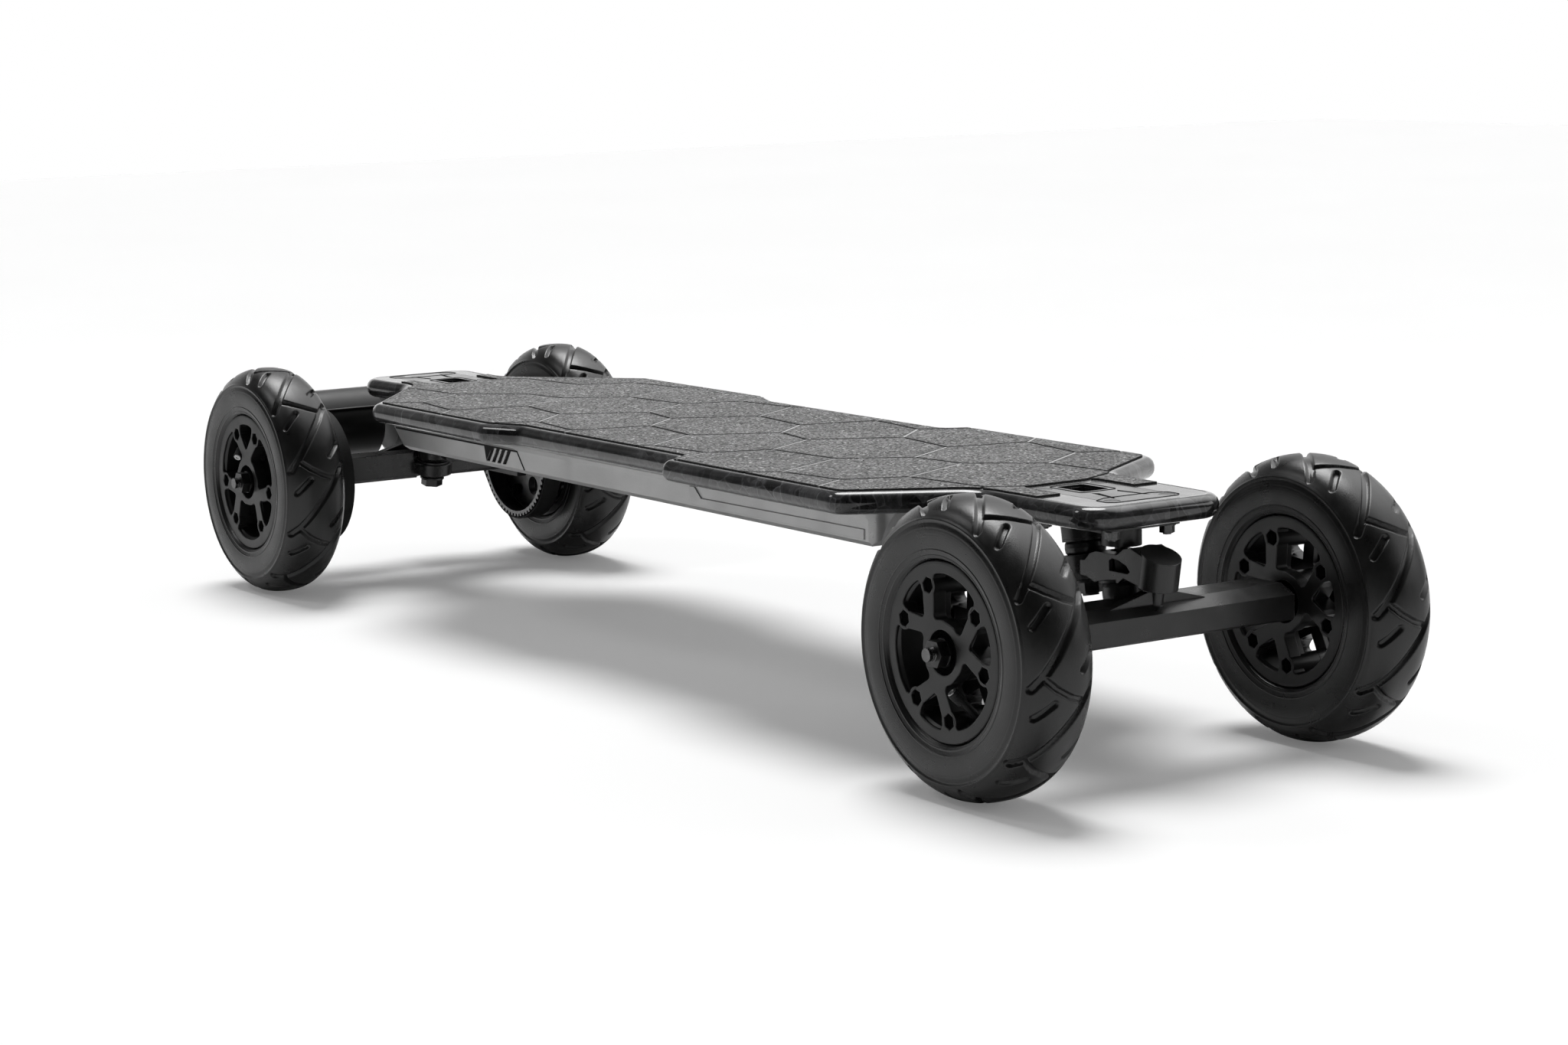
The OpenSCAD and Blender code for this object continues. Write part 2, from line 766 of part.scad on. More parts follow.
module cone_bushing(r_top, r_low, h) {
  rotate_extrude() polygon([
    [kingpin_r + slip, 0], [r_low, 0], [r_top, h], [kingpin_r + slip, h]
  ]);
}

// Soft cup that holds a pivot ball; its mouth is at the bottom
module pivot_cup(depth) {
  difference() {
    translate([0, 0, -4]) cylinder(r = cup_r, h = depth + 4);
    sphere(r = ball_r + seat_gap);
    translate([0, 0, -5]) cylinder(r = ball_r + seat_gap, h = 5);
  }
}

module base_bushings() {
  on_axis(collar_at, -kingpin_lean) {
    translate([0, 0, collar_half]) barrel(bushing_r, base_bushing_h);
    translate([0, 0, -collar_half - low_bushing_h]) cone_bushing(bushing_r - 1, bushing_r - 3, low_bushing_h);
  }
  on_axis(base_ball_at, 0) pivot_cup(base_top - cup_roof - slip - base_ball_at[1]);
}

module front_base_bushings() {
  color("#1f2022") at_front() base_bushings();
}

module rear_base_bushings() {
  color("#1f2022") at_rear() base_bushings();
}

// Along the link kingpin from the hanger ring: the underside of the link
link_seat = ring_half + washer_t + link_bushing_h + washer_t;
link_floor_t = 5;

module link_casting() {
  difference() {
    union() {
      on_axis(collar_at, -kingpin_lean) translate([0, 0, -collar_half]) cylinder(r = collar_r, h = 2 * collar_half);
      across(link_half) polygon([
        [-48, 23], [-48, 32], [-43.5, 32.5], [-39, 37], [-33, 39], [-14, 39],
        [-8, 43], [-2, 44.5], [9, 41], [12, 30], [6, 23], [-8, 26], [-13, 22.5], [-35, 20.5], [-42, 23]
      ]);
      on_axis(base_ball_at, 0) translate([0, 0, -9]) cylinder(r = 4, h = 9);
      on_axis(base_ball_at, 0) sphere(r = ball_r);
      difference() {
        on_axis(link_ball_at, kingpin_lean) translate([0, 0, -6]) cylinder(r = cup_r + 3.7, h = 26);
        translate([0, 0, 37.2]) rotate([0, 22, 0]) translate([-50, -50, 8]) cube([100, 100, 60]);
      }
    }
    on_axis(collar_at, -kingpin_lean) cylinder(r = kingpin_r + bore_play, h = 60, center = true);
    on_axis(collar_at, -kingpin_lean) translate([0, 0, collar_half]) cylinder(r = bushing_r + 1.6, h = 30);
    on_axis(collar_at, -kingpin_lean) translate([0, 0, -collar_half - 30]) cylinder(r = bushing_r + 1.6, h = 30);
    on_axis(ring_at, -kingpin_lean) cylinder(r = kingpin_r + slip, h = 40);
    on_axis(ring_at, -kingpin_lean) translate([0, 0, link_seat - 20]) cylinder(r = bushing_r + 2.6, h = 20);
    on_axis(link_ball_at, kingpin_lean) translate([0, 0, -7]) cylinder(r = cup_r + slip, h = link_cup_h + 7);
    // room for the nut, and the arched side windows
    on_axis(ring_at, -kingpin_lean) translate([-9.5, -link_half + 2.8, link_seat + link_floor_t])
      cube([19, 2 * link_half - 5.6, nut_h + 1.5]);
    across(link_half + 1) polygon([[-21, 29], [-21, 35], [-18, 36.5], [-12, 36], [-5, 33.5], [-2, 30.5], [-4, 29]]);
  }
}

module front_link() {
  color("#232427") at_front() link_casting();
}

module rear_link() {
  color("#232427") at_rear() link_casting();
}

// Link kingpin: head under the hanger ring, nut in the link's room
module link_kingpin() {
  on_axis(ring_at, -kingpin_lean) {
    low = -ring_half - low_bushing_h + 1 - washer_t;
    top = link_seat + link_floor_t;
    translate([0, 0, low - nut_h + 1]) hex_prism(kingpin_hex, nut_h - 1);
    translate([0, 0, low - nut_h + 1]) cylinder(r = kingpin_r, h = top + nut_h + 1 - low + nut_h - 1);
    translate([0, 0, top]) hex_prism(kingpin_hex, nut_h);
    translate([0, 0, low]) tube_ring(bushing_r - 3, kingpin_r - eps, washer_t);
    translate([0, 0, link_seat - washer_t]) tube_ring(bushing_r + 1, kingpin_r - eps, washer_t);
  }
}

module front_link_kingpin() {
  color("#77797d") at_front() link_kingpin();
}

module rear_link_kingpin() {
  color("#77797d") at_rear() link_kingpin();
}

module link_bushings() {
  on_axis(ring_at, -kingpin_lean) {
    translate([0, 0, ring_half + washer_t]) barrel(bushing_r, link_bushing_h);
    translate([0, 0, -ring_half - low_bushing_h + 1]) cone_bushing(bushing_r - 2, bushing_r - 4, low_bushing_h - 1);
  }
  on_axis(link_ball_at, kingpin_lean) pivot_cup(link_cup_h - slip);
}

module front_link_bushings() {
  color("#1f2022") at_front() link_bushings();
}

module rear_link_bushings() {
  color("#1f2022") at_rear() link_bushings();
}

// Section of a hanger bar, grown by g: sloped on its outboard top edge
module bar_section(g) {
  back = -bar_depth / 2 - g;
  front = bar_depth / 2 + g;
  polygon([
    [back, bar_low + 2.5], [back + 3, bar_low - g], [front - 1.5, bar_low - g], [front, bar_low + 1.5],
    [front, 7.5 + g], [6, bar_top + g], [back, bar_top + g]
  ]);
}

module hanger_casting() {
  difference() {
    union() {
      across(bar_half) bar_section(0);
      // gusset under the pivot pin
      translate([2, 0, 0]) rotate([90, 0, 90]) linear_extrude(7)
        polygon([[-36, bar_top - 1], [36, bar_top - 1], [7, 19.5], [-7, 19.5]]);
      on_axis(link_ball_at, kingpin_lean) translate([0, 0, -20]) cylinder(r = 4.5, h = 20);
      on_axis(link_ball_at, kingpin_lean) sphere(r = ball_r);
      on_axis(ring_at, -kingpin_lean) translate([0, 0, -ring_half]) cylinder(r = ring_r, h = 2 * ring_half);
    }
    on_axis(ring_at, -kingpin_lean) cylinder(r = kingpin_r + bore_play, h = 60, center = true);
    on_axis(ring_at, -kingpin_lean) translate([0, 0, ring_half]) cylinder(r = ring_r + 0.4, h = 30);
    on_axis(ring_at, -kingpin_lean) translate([0, 0, -ring_half - 30]) cylinder(r = bushing_r, h = 30);
    rotate([90, 0, 0]) cylinder(r = axle_d / 2 + slip, h = 3 * bar_half, center = true);
  }
}

module front_hanger() {
  color("#2b2c2f") at_front() hanger_casting();
}

module rear_hanger() {
  color("#2b2c2f") at_rear() hanger_casting();
}

axle_nut_t = 6.5;
axle_washer_t = 2.5;
nut_out = bearing_out + axle_washer_t + axle_nut_t;   // outer face of the nut, from a wheel's centre plane
axle_free = 4;                          // thread that stands out of the nut
groove_t = 0.5;                         // relief groove beside the nut
thread_r = axle_d / 2 - 1;

module axle(track) {
  shoulder = track / 2 + bearing_out;
  nut_end = track / 2 + nut_out;
  rotate([90, 0, 0]) cylinder(r = axle_d / 2, h = 2 * shoulder, center = true);
  both_sides() rotate([-90, 0, 0]) {
    translate([0, 0, shoulder]) cylinder(r = thread_r, h = nut_end - shoulder);
    translate([0, 0, nut_end]) cylinder(r = thread_r - 0.4, h = groove_t);
    translate([0, 0, nut_end + groove_t]) cylinder(r = thread_r, h = axle_free);
  }
}

module front_axle() {
  color("#9a9ca0") at_front() axle(front_track);
}

module rear_axle() {
  color("#9a9ca0") at_rear() axle(rear_track);
}

// Spacers, inner rings, washer and nut on one end of an axle
module axle_end(track) {
  r = axle_d / 2 + slip;
  inner = track / 2 - bearing_out;
  outer = track / 2 + bearing_out;
  rotate([-90, 0, 0]) {
    translate([0, 0, bar_half]) tube_ring(race_r + 1, r, inner - bar_half);
    translate([0, 0, inner]) tube_ring(race_r, r, bearing_w);
    translate([0, 0, inner + bearing_w]) tube_ring(race_r, r, outer - inner - 2 * bearing_w);
    translate([0, 0, outer - bearing_w]) tube_ring(race_r, r, bearing_w);
    translate([0, 0, outer]) tube_ring(race_r + 1, thread_r + slip, axle_washer_t);
    difference() {
      translate([0, 0, outer + axle_washer_t]) hex_prism(axle_d * 0.85, axle_nut_t);
      cylinder(r = thread_r + slip, h = 2 * outer);
    }
  }
}

// Washer that lies on the hanger ring and tilts with it
module ring_washer() {
  on_axis(ring_at, -kingpin_lean) translate([0, 0, ring_half]) tube_ring(bushing_r + 1, kingpin_r + bore_play, washer_t);
}

module front_hanger_hardware() {
  color("#77797d") at_front() {
    both_sides() axle_end(front_track);
    ring_washer();
  }
}

module rear_hanger_hardware() {
  color("#77797d") at_rear() {
    both_sides() axle_end(rear_track);
    ring_washer();
  }
}

// Wheels

// Half of a closed section from the bead up to the crown
function side_curve(r0, y0, r1, y1, r_top, n) = concat(
  [for (i = [0:n]) let (t = 90 * i / n) [r1 - (r1 - r0) * cos(t), y0 + (y1 - y0) * sin(t)]],
  [for (i = [1:n]) let (t = 90 * i / n)
    [r1 + (r_top - r1) * pow(sin(t), 0.85), y1 * pow(cos(t), 0.85)]]
);

// Closes a half section with its mirror image
function both_halves(half) = concat(
  half,
  [for (i = [len(half) - 2:-1:0]) [half[i][0], -half[i][1]]]
);

bead_y = hub_half - flange_t - 0.3;
tyre_outer = both_halves(concat(
  [[barrel_r + 0.3, bead_y], [flange_r + 0.5, bead_y]],
  side_curve(flange_r + 0.5, hub_half + 0.6, side_r, tyre_w / 2, tyre_d / 2, 8)
));

// The air chamber, drawn in by d; its foot ends at radius r0
function chamber(r0, d) = both_halves(concat(
  [[r0, bead_y - 7.5 - d]],
  side_curve(flange_r - 1, bead_y - 7 - d, side_r, tyre_w / 2 - 3.8 - d, tyre_d / 2 - 6 - d, 8)
));

module tyre() {
  difference() {
    rotate_extrude($fn = 96) difference() {
      polygon(tyre_outer);
      polygon(chamber(barrel_r - 5, 0));
    }
    tread();
  }
}

// The tread repeats a zigzag groove and two short ones. Each row is the middle of
// a straight cut: turn in degrees, offset from the crown's middle, slant, length, width
groove_depth = 2.4;
tread_cuts = [
  [0, -14.5, 44, 13, 3.8], [18, 14.5, 44, 13, 3.8],
  [-25, -19, 45, 8, 4.6], [-18.5, -11, 50, 17, 4.6], [-6, 3.5, 50, 20, 4.6], [6, 15.5, 44, 11, 4.2],
  [11, -12, -34, 15, 4], [6, 3, -18, 18, 4]
];

// Radius of the tread at offset y, and how far its surface leans over there
function tread_r(y) = side_r + (tyre_d / 2 - side_r) * pow(sin(acos(pow(abs(y) * 2 / tyre_w, 1 / 0.85))), 0.85);
function tread_lean(y) = atan((tread_r(y + 1) - tread_r(y - 1)) / 2);

module tread() {
  for (i = [0:tread_count - 1], q = tread_cuts)
    rotate([0, 0, 360 / tread_count * (i + q[0] / 36)])
      translate([tread_r(q[1]), 0, q[1]])
      rotate([0, -tread_lean(q[1]), 0]) rotate([-q[2], 0, 0])
      translate([-groove_depth, -q[4] / 2, -q[3] / 2]) cube([groove_depth + 6, q[4], q[3]]);
}

valve_foot = [barrel_r + 0.5, 3];
valve_lean = 38.5;
valve_len = 31;

// Stands children on the valve's own line, pointing out through the window
module on_valve() {
  rotate([0, 0, valve_angle]) translate([valve_foot[0], 0, valve_foot[1]])
    rotate([0, -90 + valve_lean, 0]) children();
}

module inner_tube() {
  rotate_extrude() difference() {
    polygon(chamber(barrel_r + 0.3, 0.4));
    polygon(chamber(barrel_r + 2.3, 2));
  }
  on_valve() {
    cylinder(r = 2.6, h = valve_len - 4);
    translate([0, 0, valve_len - 8]) cylinder(r = 3.3, h = 8);
  }
}

// Flat shape of one Y arm: a stem from the hub that forks to two bosses
module y_arm() {
  spread = 60 - rim_bolt_half_angle;
  boss = rim_bolt_r * [cos(spread), sin(spread)];
  dir = unit(boss - [fork_x, 0]);
  side = [-dir[1], dir[0]] * arm_half;
  fork_in = fork_x + arm_half / dir[1];
  fork_out = fork_x - arm_half / dir[1] + stem_half * dir[0] / dir[1];
  polygon([
    [hub_r - 4, -stem_half], [fork_out, -stem_half], [boss[0] + side[0], -boss[1] - side[1]],
    [boss[0] - side[0], -boss[1] + side[1]], [fork_in, 0], boss - side, boss + side,
    [fork_out, stem_half], [hub_r - 4, stem_half]
  ]);
}

module bolt_ring() {
  for (k = [0:2], s = [-1, 1])
    rotate([0, 0, 120 * k + s * rim_bolt_half_angle]) translate([rim_bolt_r, 0, 0]) children();
}

spoke_from = 9;
fork_x = 20;                            // where the arms of a Y part
stem_half = 6;
arm_half = 4.5;
half_gap = 0.1;                         // between the two rim halves
rim_nut_h = 4;
pocket_h = 5.5;                         // depth of the hex pockets in a rim's bosses
front_nut_z = -hub_half + pocket_h - rim_nut_h - 0.1;
rear_nut_z = -hub_half - pulley_floor - rim_nut_h;

// The outer half of a rim; the inner half is its mirror image
module rim_half() {
  difference() {
    union() {
      rotate_extrude() polygon([
        [barrel_r - barrel_wall, half_gap], [barrel_r, half_gap], [barrel_r, hub_half - flange_t],
        [flange_r, hub_half - flange_t], [flange_r, hub_half - 0.6], [flange_r - 0.6, hub_half],
        [barrel_r - 0.5, hub_half], [barrel_r - barrel_wall, hub_half - 3]
      ]);
      for (k = [0:2]) rotate([0, 0, 120 * k + 60])
        translate([0, 0, spoke_from]) linear_extrude(hub_half - 1.5 - spoke_from) y_arm();
      bolt_ring() translate([0, 0, half_gap]) cylinder(r = boss_r, h = hub_half - half_gap);
      translate([0, 0, half_gap]) cylinder(r = hub_r, h = hub_half - half_gap);
    }
    translate([0, 0, -1]) cylinder(r = race_r + 2, h = hub_half + 2);
    translate([0, 0, bearing_out - bearing_w]) cylinder(r = bearing_r + slip, h = 20);
    bolt_ring() translate([0, 0, -1]) cylinder(r = rim_bolt_d / 2 + 0.2, h = hub_half + 2);
    bolt_ring() translate([0, 0, hub_half - pocket_h]) hex_prism(hex_d_rim / 2 + 0.3, 8);
  }
}

module rim() {
  difference() {
    union() {
      rim_half();
      mirror([0, 0, 1]) rim_half();
    }
    on_valve() translate([0, 0, -1]) cylinder(r = 3.8, h = valve_len + 8);
  }
}

// Bearing outer rings with shields, and the six bolts with their nuts
module wheel_hardware(nut_z) {
  for (s = [0, 1]) mirror([0, 0, s]) translate([0, 0, bearing_out - bearing_w]) {
    tube_ring(bearing_r, bearing_r - 2.6, bearing_w);
    for (z = [0.4, bearing_w - 1.4]) translate([0, 0, z]) tube_ring(bearing_r - 2.5, race_r + seat_gap, 1);
  }
  bolt_ring() {
    translate([0, 0, nut_z - 0.8]) cylinder(d = rim_bolt_d, h = hub_half - 3 - nut_z);
    translate([0, 0, hub_half - pocket_h + 0.1]) hex_prism(hex_d_rim / 2, rim_nut_h);
    translate([0, 0, nut_z]) hex_prism(hex_d_rim / 2, rim_nut_h);
  }
}

// Drive

// Outline of a pulley with n rounded teeth of the belt's pitch
function pulley_outline(n, pitch_r) =
  let (tip = pitch_r - tip_drop, root = tip - tooth_depth, step = 360 / n)
  [for (i = [0:n - 1], q = [[-0.30, 0], [-0.24, 0.55], [-0.17, 1], [0.17, 1], [0.24, 0.55], [0.30, 0]])
    let (a = step * (i + q[0]), r = tip - (tip - root) * q[1]) r * [cos(a), sin(a)]];

// Wheel pulley round +Z: its open face at z = 0, its bolted floor up
module wheel_pulley_form() {
  ring_in = wheel_pitch_r - tip_drop - tooth_depth - 2.3;
  floor_h = rear_track / 2 - hub_half - pulley_y;
  difference() {
    union() {
      linear_extrude(pulley_w) difference() {
        polygon(pulley_outline(wheel_teeth, wheel_pitch_r));
        circle(ring_in);
      }
      rotate_extrude() polygon([
        [hub_r - 3, floor_h], [hub_r - 3, floor_h - pulley_floor], [ring_in - 0.5, floor_h - pulley_floor],
        [ring_in - 0.5, pulley_w - 3], [ring_in + 0.5, pulley_w - 3], [ring_in + 1.5, pulley_w],
        [ring_in - 1, pulley_w + 2], [ring_in - 2, floor_h]
      ]);
    }
    bolt_ring() cylinder(r = rim_bolt_d / 2 + 0.2, h = floor_h + 5);
    for (k = [0:2]) rotate([0, 0, 120 * k]) translate([27, 0, floor_h - 10]) cylinder(r = 7.5, h = 12);
  }
}

// Puts a pulley on rear wheel i, with its floor on the rim's inner bosses
module on_inner_face(i) {
  at_wheel(i) translate([0, 0, -(rear_track / 2 - pulley_y)]) children();
}

module left_wheel_pulley() {
  color("#8e9196") on_inner_face(2) wheel_pulley_form();
}

module right_wheel_pulley() {
  color("#8e9196") on_inner_face(3) wheel_pulley_form();
}

// Puts children built round +Z, which points outward, on the motor axis
module at_motor(side) {
  at_rear() mirror([0, side < 0 ? 1 : 0, 0])
    translate([motor_at[0], 0, motor_at[1]]) rotate([-90, 0, 0]) children();
}

// Belt loop in outboard and up: arcs round both pulleys, teeth on the free runs
centre_d = norm(motor_at);
centre_a = atan2(motor_at[1], motor_at[0]);

function loop(r1, r2, n) =
  let (lean = asin((r1 - r2) / centre_d))
  concat(
    [for (i = [0:n]) let (a = 90 - lean + (180 + 2 * lean) * i / n) r1 * [cos(a), sin(a)]],
    [for (i = [0:n / 2]) let (a = -90 + lean + (180 - 2 * lean) * i / (n / 2)) [centre_d, 0] + r2 * [cos(a), sin(a)]]
  );

// How far from its tangent point a belt tooth stands clear of a pulley
function tooth_room(r) = sqrt(pow(r - belt_in + seat_gap, 2) - pow(r - belt_tooth_h, 2)) + 1.5;

module belt_form() {
  r1 = wheel_pitch_r - tip_drop + belt_in;
  r2 = motor_pitch_r - tip_drop + belt_in;
  lean = asin((r1 - r2) / centre_d);
  run = centre_d * cos(lean);
  from = tooth_room(r1);
  count = floor((run - from - tooth_room(r2)) / belt_pitch) + 1;
  rotate(centre_a) {
    difference() {
      polygon(loop(r1 + belt_back_t, r2 + belt_back_t, 72));
      polygon(loop(r1, r2, 72));
    }
    for (s = [-1, 1], k = [0:count - 1])
      rotate(s * (90 - lean)) translate([r1, 0]) rotate(s * -90)
        translate([from + k * belt_pitch, 0])
        polygon([[-1.5, 0.3 * s], [-0.9, -belt_tooth_h * s], [0.9, -belt_tooth_h * s], [1.5, 0.3 * s]]);
  }
}

module belts() {
  color("#1a1a1b")
  at_rear() both_sides() translate([0, pulley_y + pulley_w - 1, 0]) rotate([90, 0, 0]) linear_extrude(belt_w) belt_form();
}

module mount_shape() {
  circle_r = can_d / 2 + 1;
  difference() {
    union() {
      translate(motor_at) circle(circle_r);
      polygon([
        [-bar_depth / 2 - 7, bar_low - 6], [bar_depth / 2 + 6, bar_low - 6], motor_at + circle_r * [0.3, -0.954],
        motor_at + circle_r * [-0.35, 0.937], [-2, bar_top + 9], [-bar_depth / 2 - 7, bar_top + 6]
      ]);
    }
    bar_section(0.05);
    translate(motor_at) circle(9);
    // slot that the clamp screw closes, and two lightening holes
    translate([-bar_depth / 2 - 12, 1]) square([13, 2.5]);
    translate([motor_at[0] * 0.45, motor_at[1] * 0.5 + 1]) circle(6.5);
  }
}

module motor_mounts() {
  color("#35363a")
  at_rear() both_sides() difference() {
    translate([0, mount_y + mount_t, 0]) rotate([90, 0, 0]) linear_extrude(mount_t) mount_shape();
    translate([motor_at[0], 0, motor_at[1]]) rotate([0, 0, 0]) for (a = [45:90:315])
      rotate([0, a, 0]) translate([12.5, mount_y + mount_t / 2, 0]) rotate([90, 0, 0]) cylinder(r = 1.6, h = mount_t + 2, center = true);
  }
}

can_from = motor_gap / 2;
can_len = mount_y - can_from;

// Closed can, open where it meets the mount
module can_form() {
  rotate_extrude() polygon([
    [0, can_from], [can_d / 2 - 4, can_from], [can_d / 2, can_from + 3], [can_d / 2, mount_y],
    [can_d / 2 - can_wall, mount_y], [can_d / 2 - can_wall, can_from + 4.5], [can_d / 2 - 6, can_from + 3],
    [shaft_d / 2 + 4, can_from + 3], [shaft_d / 2 + 4, can_from + 7], [shaft_d / 2 + run_gap, can_from + 7],
    [shaft_d / 2 + run_gap, can_from + 2], [0, can_from + 2]
  ]);
}

module motor_cans() {
  color("#2c2d30") for (s = [1, -1]) at_motor(s) can_form();
}

// Guard over the top of each can; its edge on the deck side has a raised lip
module motor_covers() {
  color("#55575b")
  for (s = [1, -1]) at_motor(s) translate([0, 0, can_from + 3]) difference() {
    linear_extrude(can_len - 4) difference() {
      union() {
        circle(cover_r);
        rotate(-148) translate([cover_r - 0.6, 0]) circle(1.3, $fn = 24);
      }
      circle(can_d / 2 + 0.1);
      polygon([[0, 0], 60 * [cos(148), -sin(148)], [-60, 60], [60, 60], 60 * [cos(15), sin(15)]]);
    }
  }
}

module stators() {
  color("#9c5a2b")
  for (s = [1, -1]) at_motor(s) difference() {
    union() {
      translate([0, 0, can_from + 14]) cylinder(r = can_d / 2 - 6.6, h = can_len - 24);
      translate([0, 0, can_from + 12]) cylinder(r = shaft_d / 2 + 4.5, h = can_len - 12 + mount_t);
      translate([0, 0, mount_y - 3]) cylinder(r = can_d / 2 - can_wall - 0.1, h = 3);
    }
    cylinder(r = shaft_d / 2 + run_gap, h = 200);
    for (a = [0:30:330]) rotate([0, 0, a]) translate([can_d / 2 - 11.5, -0.8, can_from + 13])
      cube([10, 1.6, can_len - 22]);
  }
}

module rotor_form() {
  translate([0, 0, can_from + 2.2]) cylinder(r = shaft_d / 2, h = pulley_y + pulley_w - can_from - 2.2);
  translate([0, 0, can_from + 7.2]) difference() {
    cylinder(r = can_d / 2 - can_wall - 0.5, h = can_len - 15);
    translate([0, 0, 3]) cylinder(r = can_d / 2 - 6.1, h = can_len);
  }
}

module left_rotor() {
  color("#8b8d91") at_motor(1) rotor_form();
}

module right_rotor() {
  color("#8b8d91") at_motor(-1) rotor_form();
}

module motor_pulley_form() {
  difference() {
    union() {
      translate([0, 0, pulley_y]) linear_extrude(pulley_w) polygon(pulley_outline(motor_teeth, motor_pitch_r));
      for (z = [pulley_y, pulley_y + pulley_w - 0.8]) translate([0, 0, z]) cylinder(r = motor_pitch_r + 1.6, h = 0.8);
    }
    cylinder(r = shaft_d / 2 + slip, h = 200);
  }
}

module left_motor_pulley() {
  color("#8e9196") at_motor(1) motor_pulley_form();
}

module right_motor_pulley() {
  color("#8e9196") at_motor(-1) motor_pulley_form();
}

deck();
grip();
nose_plate();
tail_plate();
battery_cover();
rear_cover();
gasket();
battery_cells();
battery_monitor();
motor_controller();
heat_sink();
charge_port();
cover_screws();
power_button();
truck_bolts();
front_base();
rear_base();
base_kingpins();
front_base_bushings();
rear_base_bushings();
front_link();
front_link_kingpin();
front_link_bushings();
rear_link();
rear_link_kingpin();
rear_link_bushings();
front_hanger();
front_axle();
front_hanger_hardware();
rear_hanger();
rear_axle();
rear_hanger_hardware();
motor_mounts();
motor_cans();
motor_covers();
stators();
belts();
left_rotor();
right_rotor();
left_motor_pulley();
right_motor_pulley();
left_wheel_pulley();
right_wheel_pulley();
color("#2e2e30") at_wheel(0) mirror([0, 0, 1]) tyre();  // fl_tyre
color("#1d1d1f") at_wheel(0) inner_tube();  // fl_tube
color("#232427") at_wheel(0) rim();  // fl_rim
color("#7c7e82") at_wheel(0) wheel_hardware(front_nut_z);  // fl_hardware
color("#2e2e30") at_wheel(1) tyre();  // fr_tyre
color("#1d1d1f") at_wheel(1) inner_tube();  // fr_tube
color("#232427") at_wheel(1) rim();  // fr_rim
color("#7c7e82") at_wheel(1) wheel_hardware(front_nut_z);  // fr_hardware
color("#2e2e30") at_wheel(2) mirror([0, 0, 1]) tyre();  // rl_tyre
color("#1d1d1f") at_wheel(2) inner_tube();  // rl_tube
color("#232427") at_wheel(2) rim();  // rl_rim
color("#7c7e82") at_wheel(2) wheel_hardware(rear_nut_z);  // rl_hardware
color("#2e2e30") at_wheel(3) tyre();  // rr_tyre
color("#1d1d1f") at_wheel(3) inner_tube();  // rr_tube
color("#232427") at_wheel(3) rim();  // rr_rim
color("#7c7e82") at_wheel(3) wheel_hardware(rear_nut_z);  // rr_hardware
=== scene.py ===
import json
import math

import bmesh
import bpy
import numpy as np
from mathutils import Matrix, Vector


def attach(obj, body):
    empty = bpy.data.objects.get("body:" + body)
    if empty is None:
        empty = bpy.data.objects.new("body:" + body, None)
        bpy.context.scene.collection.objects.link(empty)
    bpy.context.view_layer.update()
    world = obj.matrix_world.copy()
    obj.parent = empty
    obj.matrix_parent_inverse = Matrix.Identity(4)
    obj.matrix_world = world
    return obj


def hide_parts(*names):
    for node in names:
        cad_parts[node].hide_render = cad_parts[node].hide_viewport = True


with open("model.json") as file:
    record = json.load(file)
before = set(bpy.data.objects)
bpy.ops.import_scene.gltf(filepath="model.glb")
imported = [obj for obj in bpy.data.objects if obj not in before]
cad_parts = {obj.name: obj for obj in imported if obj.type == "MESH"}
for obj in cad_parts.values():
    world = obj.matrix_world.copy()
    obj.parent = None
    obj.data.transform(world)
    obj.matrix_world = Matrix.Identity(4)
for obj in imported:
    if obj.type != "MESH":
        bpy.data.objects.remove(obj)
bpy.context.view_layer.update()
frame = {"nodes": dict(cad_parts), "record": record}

nodes = frame["nodes"]
joints = {j["name"]: j for j in frame["record"]["behaviour"]["joints"]}
scene = bpy.context.scene

# Sizes are millimetres, in the frame of the CAD model; those in materials, lights and floor are metres.
MM = 0.001
WHEEL_BODY = {
    "fl": "front_left_wheel", "fr": "front_right_wheel", "rl": "rear_left_wheel", "rr": "rear_right_wheel",
}
WHEEL_AT = {key: np.array(joints[body + "_spin"]["pos_m"]) / MM for key, body in WHEEL_BODY.items()}
FRONT_X, REAR_X = WHEEL_AT["fl"][0], WHEEL_AT["rl"][0]
MID_X = (FRONT_X + REAR_X) / 2    # middle of the wheelbase


# Materials

def feed(tree, socket, value):
    """Links a socket into another one, or writes a number or colour into it."""
    if isinstance(value, bpy.types.NodeSocket):
        tree.links.new(value, socket)
    elif value is not None:
        if isinstance(value, (int, float)) and socket.type == "RGBA":
            value = (value, value, value, 1)
        socket.default_value = value


def add_node(tree, kind, values=(), **props):
    """A shader node with its first inputs fed in order."""
    n = tree.nodes.new("ShaderNode" + kind)
    for k, v in props.items():
        setattr(n, k, v)
    for i, v in enumerate(values):
        feed(tree, n.inputs[i], v)
    return n


